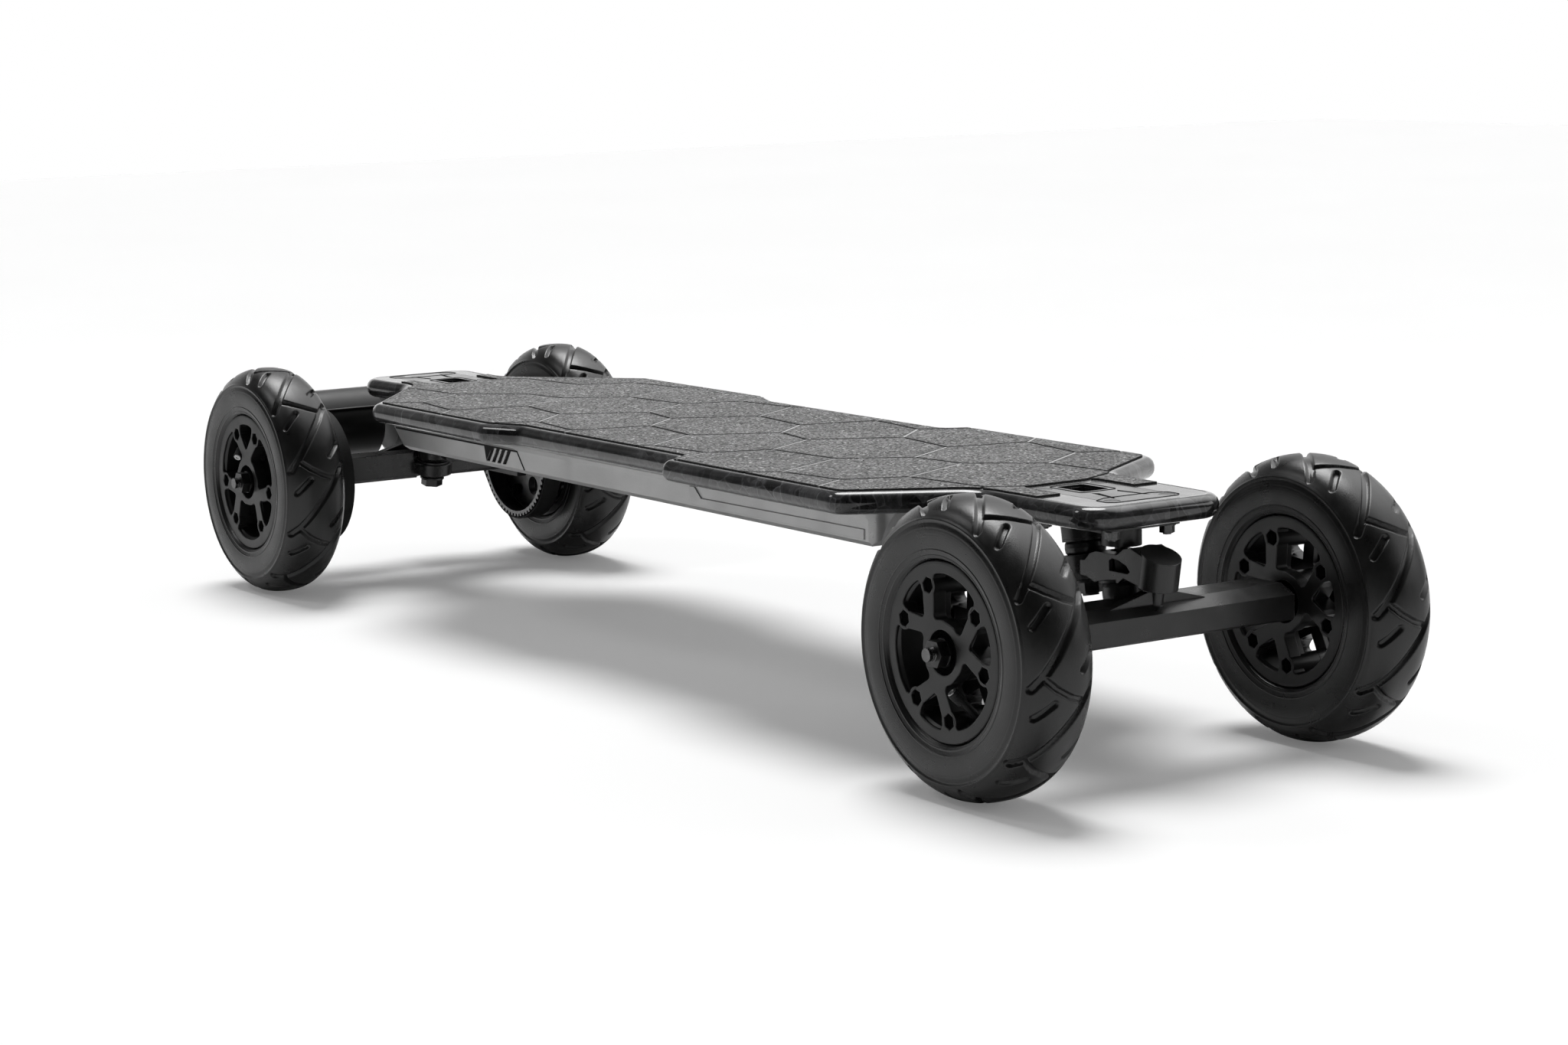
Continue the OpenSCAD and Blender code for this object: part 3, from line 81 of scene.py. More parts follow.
class Stuff:
    """One material: a principled shader and short calls for the nodes that feed it."""

    def __init__(self, name):
        self.m = bpy.data.materials.new(name)
        self.m.use_nodes = True
        self.t = self.m.node_tree
        self.t.nodes.clear()
        self.p = self.node("BsdfPrincipled")
        self.node("OutputMaterial", (self.p.outputs[0],))
        self.at = self.node("TexCoord").outputs["Object"]

    def node(self, kind, values=(), **props):
        return add_node(self.t, kind, values, **props)

    def named(self, kind, inputs, **props):
        """A node with the inputs that are named."""
        n = self.node(kind, **props)
        for k, v in inputs.items():
            feed(self.t, n.inputs[k], v)
        return n

    def set(self, **values):
        for k, v in values.items():
            feed(self.t, self.p.inputs[k.replace("_", " ")], v)

    def noise(self, scale, detail=3.0, rough=0.5, at=None, distort=0.0, out=0):
        inputs = {"Vector": at or self.at, "Scale": scale, "Detail": detail, "Roughness": rough,
                  "Distortion": distort}
        return self.named("TexNoise", inputs).outputs[out]

    def cells(self, scale, out="Distance", at=None, feature="F1"):
        inputs = {"Vector": at or self.at, "Scale": scale}
        return self.named("TexVoronoi", inputs, feature=feature).outputs[out]

    def calc(self, op, *values):
        return self.node("Math", values, operation=op).outputs[0]

    def spread(self, value, a, b, c, d):
        return self.node("MapRange", (value, a, b, c, d)).outputs[0]

    def mix(self, factor, a, b):
        n = self.node("Mix", data_type="RGBA")
        for i, v in ((0, factor), (6, a), (7, b)):     # the inputs of a colour mix
            feed(self.t, n.inputs[i], v)
        return n.outputs[2]

    def stretch(self, at, scale, turn):
        return self.named("Mapping", {"Vector": at, "Scale": scale, "Rotation": turn}).outputs[0]

    def dot(self, a, b):
        return self.node("VectorMath", (a, b), operation="DOT_PRODUCT").outputs["Value"]

    def apart(self, vector):
        return self.node("SeparateXYZ", (vector,)).outputs

    def round_edges(self, radius):
        return self.named("Bevel", {"Radius": radius}, samples=4).outputs[0]

    def bump(self, height, depth, strength, normal=None):
        inputs = {"Strength": strength, "Distance": depth, "Height": height, "Normal": normal}
        return self.named("Bump", inputs).outputs["Normal"]


def coated(name, dark, light, rough, grain=900.0, depth=0.00008, edge=0.0005, metal=0.0, spec=0.25,
           wear_and_highlight=0.0, tint=(1.0, 1.0, 1.0)):
    """Painted, moulded or machined surface: uneven tone, grain, smudges and softened edges.

    Dark and light are the ends of its tone, and tint colours them. Grain is the scale of its fine
    noise, depth the height of that noise, and edge the radius that softens its edges."""
    s = Stuff(name)
    smooth = s.round_edges(edge)
    cloud = s.noise(38, 5, 0.6)
    tone = s.spread(s.noise(9, 4, 0.6, distort=0.4), 0.3, 0.7, 0.0, 1.0)
    base = s.mix(tone, *([level * c for c in tint] + [1] for level in (dark, light)))
    speck = s.spread(s.noise(grain * 1.7, 2, 0.5), 0.35, 0.65, 0.8, 1.2)
    base = s.mix(0.5, base, s.mix(speck, 0.0, base))
    if wear_and_highlight:
        # edges a little lighter: partly rubbed wear, partly a painted highlight where edges catch light
        flat = s.dot(smooth, s.node("NewGeometry").outputs["Normal"])
        rub_and_highlight = s.calc("MULTIPLY", s.spread(flat, 0.9, 0.995, 1.0, 0.0), s.spread(cloud, 0.35, 0.65, 0.2, 1.0))
        base = s.mix(s.calc("MULTIPLY", rub_and_highlight, wear_and_highlight), base, min(1.0, light * 4 + 0.05))
    s.set(Base_Color=base, Metallic=metal, Specular_IOR_Level=spec)
    s.set(Roughness=s.spread(cloud, 0.25, 0.75, max(0.03, rough - 0.08), rough + 0.1))
    s.set(Normal=s.bump(s.noise(grain, 3, 0.55), depth, 0.6, smooth))
    return s


CHIPS, GRAINS = 62, 760           # fibre chips and grip grains to the metre


def carbon():
    """Forged carbon: random chips of fibre under a glossy coat."""
    s = Stuff("carbon")
    flow = s.noise(7, 3, 0.6)
    bend = s.named("VectorMath", {0: s.noise(14, 3, out="Color"), "Scale": 0.05}, operation="SCALE")
    swirl = s.node("VectorMath", (s.at, bend.outputs[0]), operation="ADD").outputs[0]
    chip_at = s.stretch(swirl, (1.0, 1.7, 1.3), (0.3, 0.2, 0.5))
    chips = s.apart(s.cells(CHIPS, "Color", chip_at))
    small = s.apart(s.cells(150, "Color", swirl))
    shade = s.calc("MULTIPLY", chips[0], s.spread(small[1], 0.0, 1.0, 0.4, 1.2))
    fibre = s.noise(1.0, 3, 0.6, s.stretch(s.at, (900, 90, 300), (0.2, 0.4, 0.7)))
    vein = s.spread(s.cells(CHIPS, "Distance", chip_at, "DISTANCE_TO_EDGE"), 0.0, 0.06, 1.0, 0.0)
    value = s.calc("ADD", s.spread(shade, 0.0, 1.0, 0.002, 0.045),
                   s.calc("MULTIPLY", vein, s.spread(flow, 0.45, 0.7, 0.0, 0.09)))
    value = s.calc("MULTIPLY", value, s.spread(fibre, 0.3, 0.7, 0.6, 1.4))
    both = s.node("CombineColor", (value, value, s.calc("MULTIPLY", value, 1.04))).outputs[0]
    s.set(Base_Color=both, Metallic=s.spread(chips[1], 0.6, 1.0, 0.0, 0.8), Specular_IOR_Level=0.12)
    s.set(Roughness=s.spread(chips[2], 0.0, 1.0, 0.3, 0.5), Coat_Weight=1.0, Coat_Roughness=0.035)
    smooth = s.round_edges(0.0006)
    s.set(Normal=s.bump(shade, 0.0001, 0.3, smooth))
    s.set(Coat_Normal=s.bump(s.noise(45, 2, 0.5), 0.00004, 0.2, smooth))
    return s


def grip_stuff():
    """Abrasive sheet: coarse grains, some painted bright as glints off their facets; its walls and a band
    along its edges are painted dark as shade in the gaps between the tiles.
    """
    s = Stuff("grip")
    flat = s.node("NewGeometry").outputs["Normal"]
    up = s.apart(flat)[2]
    near = s.dot(s.round_edges(0.0028), flat)
    grain = s.cells(GRAINS)
    pick = s.apart(s.cells(GRAINS, "Color"))
    coarse = s.noise(420, 4, 0.7)
    tone = s.spread(s.noise(16, 5, 0.65), 0.3, 0.7, 0.15, 0.21)
    dark = s.calc("MULTIPLY", tone, s.spread(pick[0], 0.0, 1.0, 0.08, 1.75))
    # painted glints: a few random grains made bright in the colour, standing in for light caught by their
    # facets
    painted_glint = s.spread(pick[1], 0.93, 1.0, 0.0, 0.55)
    value = s.calc("ADD", dark, painted_glint)
    # painted shade: the walls and a band along the tiles' edges made dark, standing in for shade in the gaps
    painted_gap_shade = s.calc("MAXIMUM", s.spread(up, 0.6, 0.2, 0.0, 1.0), s.spread(near, 0.985, 0.92, 0.0, 0.88))
    s.set(Base_Color=s.mix(painted_gap_shade, value, 0.03), Specular_IOR_Level=0.2)
    s.set(Roughness=s.spread(pick[2], 0.0, 1.0, 0.55, 0.95))
    height = s.calc("SUBTRACT", s.calc("MULTIPLY", coarse, 0.8), grain)
    s.set(Normal=s.bump(height, 0.0005, 0.9))
    return s


def rubber():
    """Tyre rubber: smooth, a little dusty, worn on the crown, fine mould lines on the sides."""
    s = Stuff("tyre")
    x, y, z = s.apart(s.at)
    r = s.calc("SQRT", s.calc("ADD", s.calc("MULTIPLY", x, x), s.calc("MULTIPLY", z, z)))
    dust = s.spread(s.noise(30, 6, 0.7, distort=0.5), 0.4, 0.75, 0.0, 1.0)
    crown = s.spread(r, 0.0852, 0.0872, 0.0, 1.0)
    base = s.mix(s.spread(s.noise(120, 4, 0.6), 0.3, 0.7, 0.0, 1.0), 0.003, 0.006)
    base = s.mix(s.calc("MULTIPLY", dust, 0.25), base, 0.014)
    base = s.mix(s.calc("MULTIPLY", crown, 0.3), base, 0.012)
    rings = s.calc("SINE", s.calc("MULTIPLY", r, 4200.0))
    lines = s.calc("MULTIPLY", s.spread(rings, 0.75, 1.0, 0.0, 1.0), s.spread(r, 0.0765, 0.0755, 0.0, 1.0))
    s.set(Base_Color=base, Specular_IOR_Level=0.5)
    sheen = s.spread(s.noise(60, 4, 0.6), 0.3, 0.7, 0.25, 0.37)
    s.set(Roughness=s.calc("ADD", sheen, s.calc("MULTIPLY", crown, 0.06)))
    rough = s.bump(s.noise(1300, 4, 0.65), 0.00012, 0.7)
    s.set(Normal=s.bump(lines, 0.00005, 0.35, rough))
    return s


def steel(name, light, rough):
    """Turned or plated metal, lightly stained."""
    s = Stuff(name)
    stain = s.noise(140, 5, 0.65)
    base = s.mix(s.spread(stain, 0.35, 0.65, 0.0, 1.0), light * 0.72, light)
    s.set(Base_Color=base, Metallic=1.0)
    s.set(Roughness=s.spread(s.noise(420, 3, 0.6), 0.3, 0.7, rough - 0.07, rough + 0.1))
    s.set(Normal=s.bump(s.noise(2600, 2, 0.5), 0.00003, 0.5, s.round_edges(0.0003)))
    return s


def wound():
    """Copper winding with a clear coat."""
    s = Stuff("stator")
    bands = s.named("TexWave", {"Vector": s.at, "Scale": 260, "Distortion": 1.5}, wave_type="BANDS")
    wire = bands.outputs["Fac"]
    base = s.mix(s.spread(wire, 0.1, 0.9, 0.0, 1.0), (0.19, 0.06, 0.02, 1), (0.45, 0.19, 0.08, 1))
    s.set(Base_Color=base, Metallic=0.7, Roughness=0.35)
    s.set(Normal=s.bump(wire, 0.0003, 0.8))
    return s


def board_stuff():
    """Printed board: green mask, pale traces."""
    s = Stuff("board")
    trace = s.named("TexBrick", {"Vector": s.at, "Scale": 90, "Mortar Size": 0.03}).outputs["Fac"]
    base = s.mix(trace, (0.012, 0.06, 0.03, 1), (0.05, 0.16, 0.08, 1))
    s.set(Base_Color=base, Roughness=s.spread(s.noise(200, 3), 0.3, 0.7, 0.3, 0.5))
    s.set(Normal=s.bump(trace, 0.0001, 0.6))
    return s


stuff = {
    "carbon": carbon(),
    "grip": grip_stuff(),
    "plate": coated("plate", 0.012, 0.02, 0.16, 1400, 0.00003, 0.0006, spec=0.5),
    "cover": coated("cover", 0.36, 0.44, 0.34, 1500, 0.00004, 0.0007, metal=0.75, spec=0.3),
    "seal": coated("seal", 0.004, 0.007, 0.75, 900, 0.0001),
    "cell": coated("cell", 0.1, 0.16, 0.4, 700, 0.00005, tint=(0.5, 0.9, 1.3)),
    "board": board_stuff(),
    "sink": steel("sink", 0.5, 0.4),
    "port": coated("port", 0.008, 0.014, 0.5, 900),
    "button": coated("button", 0.4, 0.5, 0.35, 900),
    "fastener": steel("fastener", 0.075, 0.34),
    "black_bolt": steel("black_bolt", 0.11, 0.3),
    "truck": coated("truck", 0.010, 0.016, 0.3, 1100, 0.00009, 0.0008, spec=0.5, wear_and_highlight=0.25),
    "urethane": coated("urethane", 0.007, 0.012, 0.3, 500, 0.00005, spec=0.5),
    "axle_steel": steel("axle_steel", 0.16, 0.26),
    "motor": coated("motor", 0.012, 0.018, 0.34, 1100, 0.00005, 0.0006, metal=0.2, wear_and_highlight=0.2, spec=0.35),
    "motor_cover": coated("motor_cover", 0.03, 0.045, 0.38, 1100, 0.00006, 0.0006, metal=0.3, wear_and_highlight=0.15),
    "stator": wound(),
    "rotor_steel": steel("rotor_steel", 0.42, 0.3),
    "belt": coated("belt", 0.006, 0.010, 0.7, 800, 0.0001),
    "pulley": steel("pulley", 0.2, 0.36),
    "tyre": rubber(),
    "tube": coated("tube", 0.007, 0.012, 0.5, 700),
    "rim_bolt": coated("rim_bolt", 0.002, 0.004, 0.6, 900, 0.00004, 0.0003, spec=0.0),
    # pale paint for the gap strips: painted light standing in for lit tile walls
    "painted_gap_light": coated("painted_gap_light", 0.3, 0.36, 0.2, 1400, 0.00002, 0.0002, spec=0.6),
    "rim": coated("rim", 0.006, 0.010, 0.34, 1200, 0.00005, 0.0007, spec=0.4, wear_and_highlight=0.25),
}

NODE_LOOK = {
    "deck": "carbon", "grip": "grip", "nose_plate": "plate", "tail_plate": "plate",
    "battery_cover": "cover", "rear_cover": "cover", "gasket": "seal", "battery_cells": "cell",
    "battery_monitor": "board", "motor_controller": "board", "heat_sink": "sink", "charge_port": "port",
    "cover_screws": "fastener", "power_button": "button", "truck_bolts": "black_bolt",
    "base_kingpins": "fastener", "motor_mounts": "motor", "motor_cans": "motor",
    "motor_covers": "motor_cover", "stators": "stator", "belts": "belt",
}


WORD_LOOK = {
    "bushings": "urethane", "kingpin": "fastener", "hanger_hardware": "fastener", "hardware": "rim_bolt",
    "axle": "axle_steel", "base": "truck", "link": "truck", "hanger": "truck", "rotor": "rotor_steel",
    "pulley": "pulley", "tyre": "tyre", "tube": "tube", "rim": "rim",
}


def look_of(name):
    """The look of a CAD node, by its name or by the first of the words above that is in it."""
    return NODE_LOOK.get(name) or next(look for word, look in WORD_LOOK.items() if word in name)


for name, o in nodes.items():
    o.data.materials.clear()
    o.data.materials.append(stuff[look_of(name)].m)


# Meshes

def new_mesh(name, points, faces, look, smooth=True):
    me = bpy.data.meshes.new(name)
    me.from_pydata([tuple(float(c) * MM for c in p) for p in points], [], faces)
    me.update()
    me.materials.append(stuff[look].m)
    if smooth:
        me.shade_smooth()
    return me


def add_piece(name, me, body, at=(0, 0, 0)):
    o = bpy.data.objects.new(name, me)
    scene.collection.objects.link(o)
    o.location = [c * MM for c in at]
    bpy.context.view_layer.update()
    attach(o, body)
    return o


def add_mesh(name, points, faces, slot, body, smooth=True, look=None):
    """A piece from points in the board's frame, in its slot's look unless another is given."""
    return add_piece(name, new_mesh(name, points, faces, look or slot, smooth), body)


def grid_faces(rows, cols, wrap_rows=True, wrap_cols=True):
    """Quads of a grid stored row by row."""
    faces = []
    for i in range(rows if wrap_rows else rows - 1):
        k = (i + 1) % rows
        for j in range(cols if wrap_cols else cols - 1):
            m = (j + 1) % cols
            faces.append((i * cols + j, k * cols + j, k * cols + m, i * cols + m))
    return faces


# Outlines

def arc_corner(a, b, c, r, n):
    """Points of the arc of radius r that rounds the corner b between a and c, in n steps."""
    a, b, c = (np.array(q[:2], float) for q in (a, b, c))
    p, q = (a - b) / np.linalg.norm(a - b), (c - b) / np.linalg.norm(c - b)
    half = math.acos(float(np.clip(p @ q, -1, 1))) / 2
    mid = b + (p + q) / np.linalg.norm(p + q) * r / math.sin(half)
    s = b + p * r / math.tan(half) - mid
    u, v = b - a, c - b
    turn = (math.pi - 2 * half) * (1 if u[0] * v[1] - u[1] * v[0] > 0 else -1)
    return [mid + [s[0] * math.cos(t) - s[1] * math.sin(t), s[0] * math.sin(t) + s[1] * math.cos(t)]
            for t in np.linspace(0, turn, n + 1)]


def round_off(path, n, closed=True):
    """Rounds the corners of a path of (x, y, radius)."""
    out = []
    m = len(path)
    for i in range(m) if closed else range(1, m - 1):
        a, b, c = path[i - 1], path[i], path[(i + 1) % m]
        out += arc_corner(a, b, c, b[2], n) if b[2] > 0 else [np.array(b[:2], float)]
    return np.array(out)


def drawn_in(pts, d):
    """A closed outline that runs clockwise, drawn in by d."""
    before, after = np.roll(pts, 1, 0), np.roll(pts, -1, 0)
    u, v = pts - before, after - pts
    u /= np.linalg.norm(u, axis=1)[:, None]
    v /= np.linalg.norm(v, axis=1)[:, None]
    s = u + v
    s /= np.linalg.norm(s, axis=1)[:, None]
    k = d / np.maximum(0.5, (s * u).sum(1))
    return pts + np.column_stack([s[:, 1], -s[:, 0]]) * k[:, None]


# Deck rail: a clear-coated skin over the rounded edge of the deck

DECK_TOP, DECK_UNDER = 160.0, 146.0
RAIL_R, SKIN, RAIL_LAP = 6.5, 0.06, 1.0       # rounding of the edge, skin, its lap on the flat faces
HALF_DECK = [                                 # x from the middle, y, radius of the corner
    (-462, 0, 0), (-462, 49, 20), (-386, 45, 30), (-294, 122, 15), (-128, 122, 14), (-97, 109, 24),
    (108, 109, 5), (117, 125, 8), (312, 125, 16), (357, 54, 22), (467, 52, 20), (467, 0, 0),
]


def deck_rail():
    half = round_off(HALF_DECK, 18, closed=False)
    outline = np.vstack([half, (half * [1, -1])[::-1]])
    # the section as distance drawn in and height, from the top round to the underside
    section = [(RAIL_R + RAIL_LAP, DECK_TOP + SKIN)]
    for turns, middle, way in ((np.linspace(90, 0, 9), DECK_TOP - RAIL_R, 1),
                               (np.linspace(0, 90, 9), DECK_UNDER + RAIL_R, -1)):
        for a in np.radians(turns):
            r = RAIL_R + SKIN
            section.append((RAIL_R - r * math.cos(a), middle + way * r * math.sin(a)))
    section.append((RAIL_R + RAIL_LAP, DECK_UNDER - SKIN))
    pts = []
    for d, z in section:
        ring = drawn_in(outline, d)
        pts += [(x + MID_X, y, z) for x, y in ring]
    add_mesh("deck_rail", pts, grid_faces(len(section), len(outline)), "carbon", "deck")


deck_rail()


# Grip: pale strips in the slanting gaps between the tiles, painted light standing in for the lit walls on one
# side of each gap

GRIP_IN, GRIP_TOP = 8.5, 161.0
GAP_DEPTH, GAP_WIDTH = 0.1, 1.9               # the pale painted light strip lies this far below the grip's top
GAP_SEAT, GAP_MIN = 0.05, 6.0                 # its distance from the wall, the shortest wall that counts
GAP_AHEAD = 6.0                               # the grip goes on at least this far beyond the wall
GAP_NORMAL, FACING = (0.866, 0.5), 0.8        # the way those walls face, least cosine of a wall with it
TILES = (-372.0, 366.0)                       # from the tail plate to the nose plate, along the board


def gap_walls():
    """Walls of the tiles that face the nose and the left, as two ends and the normal."""
    me = nodes["grip"].data
    found = {}
    for f in me.polygons:
        n = f.normal
        if abs(n.z) > 0.1 or n.x * GAP_NORMAL[0] + n.y * GAP_NORMAL[1] < FACING:
            continue
        way = np.array([-n.y, n.x])
        at = np.array([me.vertices[i].co[:2] for i in f.vertices]) / MM
        run = at @ way
        p, q = at[run.argmin()], at[run.argmax()]
        found[tuple(np.round([*p, *q], 1))] = (p, q, np.array([n.x, n.y]))
    return list(found.values())


def painted_light_strips():
    """Pale strips that fill the slanting gaps between the tiles almost to the top: painted light for the tile
    walls that face the nose and the left.
    """
    half = drawn_in(round_off(HALF_DECK, 8, closed=False), GRIP_IN)[1:-1]
    pts, faces = [], []
    for p, q, n in gap_walls():
        mid = (p + q) / 2 + n * GAP_AHEAD - [MID_X, 0]
        inside = TILES[0] < mid[0] < TILES[1] and abs(mid[1]) < np.interp(mid[0], half[:, 0], half[:, 1])
        if not inside or np.linalg.norm(q - p) < GAP_MIN:
            continue
        k = len(pts)
        near, far = n * GAP_SEAT, n * GAP_WIDTH
        for z in (GRIP_TOP - GAP_DEPTH, DECK_TOP + SKIN):
            pts += [(*c, z) for c in (p + near, q + near, q + far, p + far)]
        faces += [(k, k + 3, k + 2, k + 1), (k + 4, k + 5, k + 6, k + 7)]
        faces += [(k + i, k + (i + 1) % 4, k + 4 + (i + 1) % 4, k + 4 + i) for i in range(4)]
    add_mesh("painted_light_strips", pts, faces, "carbon", "deck", smooth=False, look="painted_gap_light")


painted_light_strips()


# Wheels

def plate_mesh(name, loops, depth, edge):
    """Mesh of a plate in XY, its top at z = 0; the first loop is its outline, the others are holes."""
    cu = bpy.data.curves.new(name, "CURVE")
    cu.dimensions = "2D"
    cu.fill_mode = "BOTH"
    cu.extrude = depth / 2 - edge
    cu.bevel_depth = edge
    cu.bevel_resolution = 2
    cu.offset = -edge
    for loop in loops:
        sp = cu.splines.new("POLY")
        sp.points.add(len(loop) - 1)
        for p, q in zip(sp.points, loop):
            p.co = (q[0], q[1], 0, 1)
        sp.use_cyclic_u = True
    o = bpy.data.objects.new(name, cu)
    me = bpy.data.meshes.new_from_object(o)
    bpy.data.objects.remove(o)
    b = bmesh.new()
    b.from_mesh(me)
    bmesh.ops.remove_doubles(b, verts=b.verts, dist=0.001)
    pts = np.array([tuple(v.co) for v in b.verts])
    faces = [tuple(v.index for v in f.verts) for f in b.faces]
    b.free()
    pts[:, 2] -= depth / 2
    return pts, faces


def circle_loop(r, n, x=0.0):
    t = np.linspace(0, 2 * math.pi, n, endpoint=False)
    return np.column_stack([x + r * np.cos(t), r * np.sin(t)])


def turned(pts, degrees):
    c, s = math.cos(math.radians(degrees)), math.sin(math.radians(degrees))
    return np.column_stack([pts[:, 0] * c - pts[:, 1] * s, pts[:, 0] * s + pts[:, 1] * c])


HUB_HALF, FACE_LIFT = 22.0, 0.05              # half the rim's width, the face stands this proud of it
FACE_R, FACE_DEPTH, FACE_EDGE = 51.2, 9.0, 0.55
HUB_BORE_R, POCKET_R = 13.1, 4.9
BOLT_R, BOLT_HALF = 39.0, 35.8                # radius of the pockets, degrees from the middle of an arm
RIM_TURN = {"fl": 69.9, "fr": -46.2, "rl": 31.3, "rr": 148.7}    # degrees


def on_wheel(pts, key):
    """From a wheel's own frame, outer face up, to the board's frame."""
    x, y, z = WHEEL_AT[key]
    p = math.radians(RIM_TURN[key])
    u, v, w = pts[:, 0], pts[:, 2], -pts[:, 1]
    return np.column_stack([x + u * math.cos(p) - w * math.sin(p), y + (v if y > 0 else -v),
                            z + u * math.sin(p) + w * math.cos(p)])


def wheel_piece(name, key, pts, faces, slot, inner=False, look=None):
    """A piece from points in the wheel's own frame, or its mirror image on the inner face."""
    if inner:
        pts = pts * [1, 1, -1]
    if (WHEEL_AT[key][1] < 0) != inner:
        faces = [f[::-1] for f in faces]
    add_mesh(key + "_" + name, on_wheel(pts, key), faces, slot, WHEEL_BODY[key], smooth=False, look=look)


def mirrored(half):
    """A path of (x, y, radius), and back along its mirror image."""
    return half + [(x, -y, r) for x, y, r in half[::-1] if y != 0]


def rim_face():
    """Cast face: three forked arms, six hex pockets, large and small windows."""
    small = mirrored([(24.4, 0, 2.2), (36.8, -9.9, 2.5), (43.2, -10.9, 2.2), (44.9, -4, 30)])
    large = mirrored([(17.9, -6, 12), (14.6, -12.6, 3), (30.2, -16.9, 8), (39.6, -20, 2.4), (44.9, -9.5, 30)])
    loops = [circle_loop(FACE_R, 120)]
    for k in range(3):
        loops.append(turned(round_off(large, 5), 120 * k))
        loops.append(turned(round_off(small, 5), 120 * k + 60))
        for s in (-1, 1):
            loops.append(turned(circle_loop(POCKET_R, 6, BOLT_R), 120 * k + s * BOLT_HALF))
    loops.append(circle_loop(HUB_BORE_R, 64))
    pts, faces = plate_mesh("face", loops, FACE_DEPTH, FACE_EDGE)
    return pts + [0, 0, HUB_HALF + FACE_LIFT], faces


face = rim_face()
for key in WHEEL_BODY:
    wheel_piece("rim_face", key, *face, "rim")
for key in ("fl", "fr"):
    wheel_piece("rim_back", key, *face, "rim", inner=True)


def turned_form(profile, n):
    """A form turned round Z from (radius, height) pairs, closed at both ends."""
    t = np.linspace(0, 2 * math.pi, n, endpoint=False)
    pts = [(r * math.cos(a), r * math.sin(a), z) for r, z in profile for a in t]
    faces = grid_faces(len(profile), n, wrap_rows=False)
    faces += [tuple(range(n))[::-1], tuple((len(profile) - 1) * n + i for i in range(n))]
    return np.array(pts), [f[::-1] for f in faces]


VALVE_ROOT = np.array([47.5, 0, 3.0])         # where the stem leaves the tube, in the wheel's frame
VALVE_LEAN, VALVE_TURN = 38.5, 20             # degrees out of the wheel's plane, and round the wheel


def valve_rows():
    """Profiles, as radius and distance along the stem, and looks of a valve's cap and core."""
    cap = [(3.36, 22.8), (3.5, 23.0)]
    for i in range(6):
        cap += [(3.5, 23.4 + i), (3.3, 23.7 + i), (3.5, 24.0 + i)]
    cap += [(3.4, 30.5), (3.0, 31.1), (2.5, 31.1)]
    core = [(2.9, 30.4), (2.9, 31.6), (2.6, 31.9), (1.3, 31.9), (1.1, 31.5)]
    return {"valve_cap": (cap, None), "valve_core": (core, "rotor_steel")}


def valve_piece(rows):
    pts, faces = turned_form(rows, 32)
    lean = math.radians(VALVE_LEAN)
    along = np.array([-math.cos(lean), 0, math.sin(lean)])
    across = np.array([math.sin(lean), 0, math.cos(lean)])
    out = VALVE_ROOT + pts[:, :1] * across + pts[:, 1:2] * [0, 1, 0] + pts[:, 2:] * along
    out[:, :2] = turned(out[:, :2], VALVE_TURN)
    return out, faces


for name, (rows, look) in valve_rows().items():
    valve = valve_piece(rows)
    for key in WHEEL_BODY:
        wheel_piece(name, key, *valve, "tube", look=look)


THREAD_R, ROOT_R, THREAD_LENGTH = 4.12, 3.7, 4.1
THREAD_AT = 27.6                              # from the wheel's middle to the nut's outer face


def axle_threads():
    """Threads, chamfer and centre mark on the four free axle ends."""
    rows = [(3.3, 0.0)]
    for i in range(4):
        rows += [(THREAD_R, 0.25 + i), (THREAD_R, 0.4 + i), (ROOT_R, 0.7 + i), (ROOT_R, 0.85 + i)]
    rows += [(3.2, THREAD_LENGTH), (0.9, THREAD_LENGTH), (0.7, THREAD_LENGTH - 0.5)]
    pts, faces = turned_form(rows, 40)
    for key, (x, y, z) in WHEEL_AT.items():
        side = 1 if y > 0 else -1
        out = np.column_stack([x + pts[:, 0], y + side * (THREAD_AT + pts[:, 2]), z - pts[:, 1]])
        body = ("front" if x > 0 else "rear") + "_hanger"
        add_mesh(key + "_axle_thread", out, [f[::side] for f in faces], "axle_steel", body, smooth=False)


axle_threads()


# Tyres

TYRE_R, TYRE_HALF, SIDE_R = 87.5, 25.5, 66.0   # crown, half width, radius where it is widest
FLANGE_R, FLANGE_Y = 52.5, 22.6
FULLNESS = 0.85                        # of the crown's section; 1 is an ellipse
GROOVE, WALL = 2.6, 0.36               # depth of the tread's grooves, half the run of their walls
LIP, LIP_DROP = 0.6, 0.38              # rounded lip of a groove: its run and its fall
SNAP = 0.38                            # points this near to an edge of a wall or lip move onto it
GROOVE_R, GROOVE_FADE = 73.5, 3.0      # radius where the grooves run out, and how softly
# raised rings of the sidewall, as radius, half width and height, and its steps, as radius, run and fall
RINGS = [(54.6, 0.8, 0.4), (58.2, 0.5, 0.4), (71.5, 0.4, 0.3), (75.4, 0.9, 0.95)]
STEPS = [(76.4, 0.8, 0.45), (75.0, 1.2, 0.4)]
REPEAT = 36                            # degrees after which the tread repeats
TREAD = [                              # grooves: angle and offset of both ends, width
    (-3.3, -19.0, 3.3, -9.0, 3.6), (14.6, 9.0, 21.2, 19.0, 3.6),
    (-27.5, -21.5, -22.6, -16.5, 4.4), (-22.6, -16.5, -1.2, 7.6, 4.2), (-1.2, 7.6, 3.0, 12.0, 4.2),
    (3.0, 12.0, 9.0, 19.0, 4.0),
    (13.4, -16.5, 8.6, -8.0, 3.2), (8.6, -8.0, 5.0, 2.0, 3.0), (5.0, 2.0, 2.8, 11.6, 3.0),
]
TREAD_TURN = {"fl": 29.0, "fr": 21.1, "rl": 11.0, "rr": 3.0}     # degrees
# bead and inside of the casing, to its middle, as radius and offset
CASING = [
    (52.4, 19.8), (47.4, 19.7), (47.4, 14), (52, 13), (60, 19.3), (67, 20.2), (74, 17), (79.5, 9), (81, 0),
]


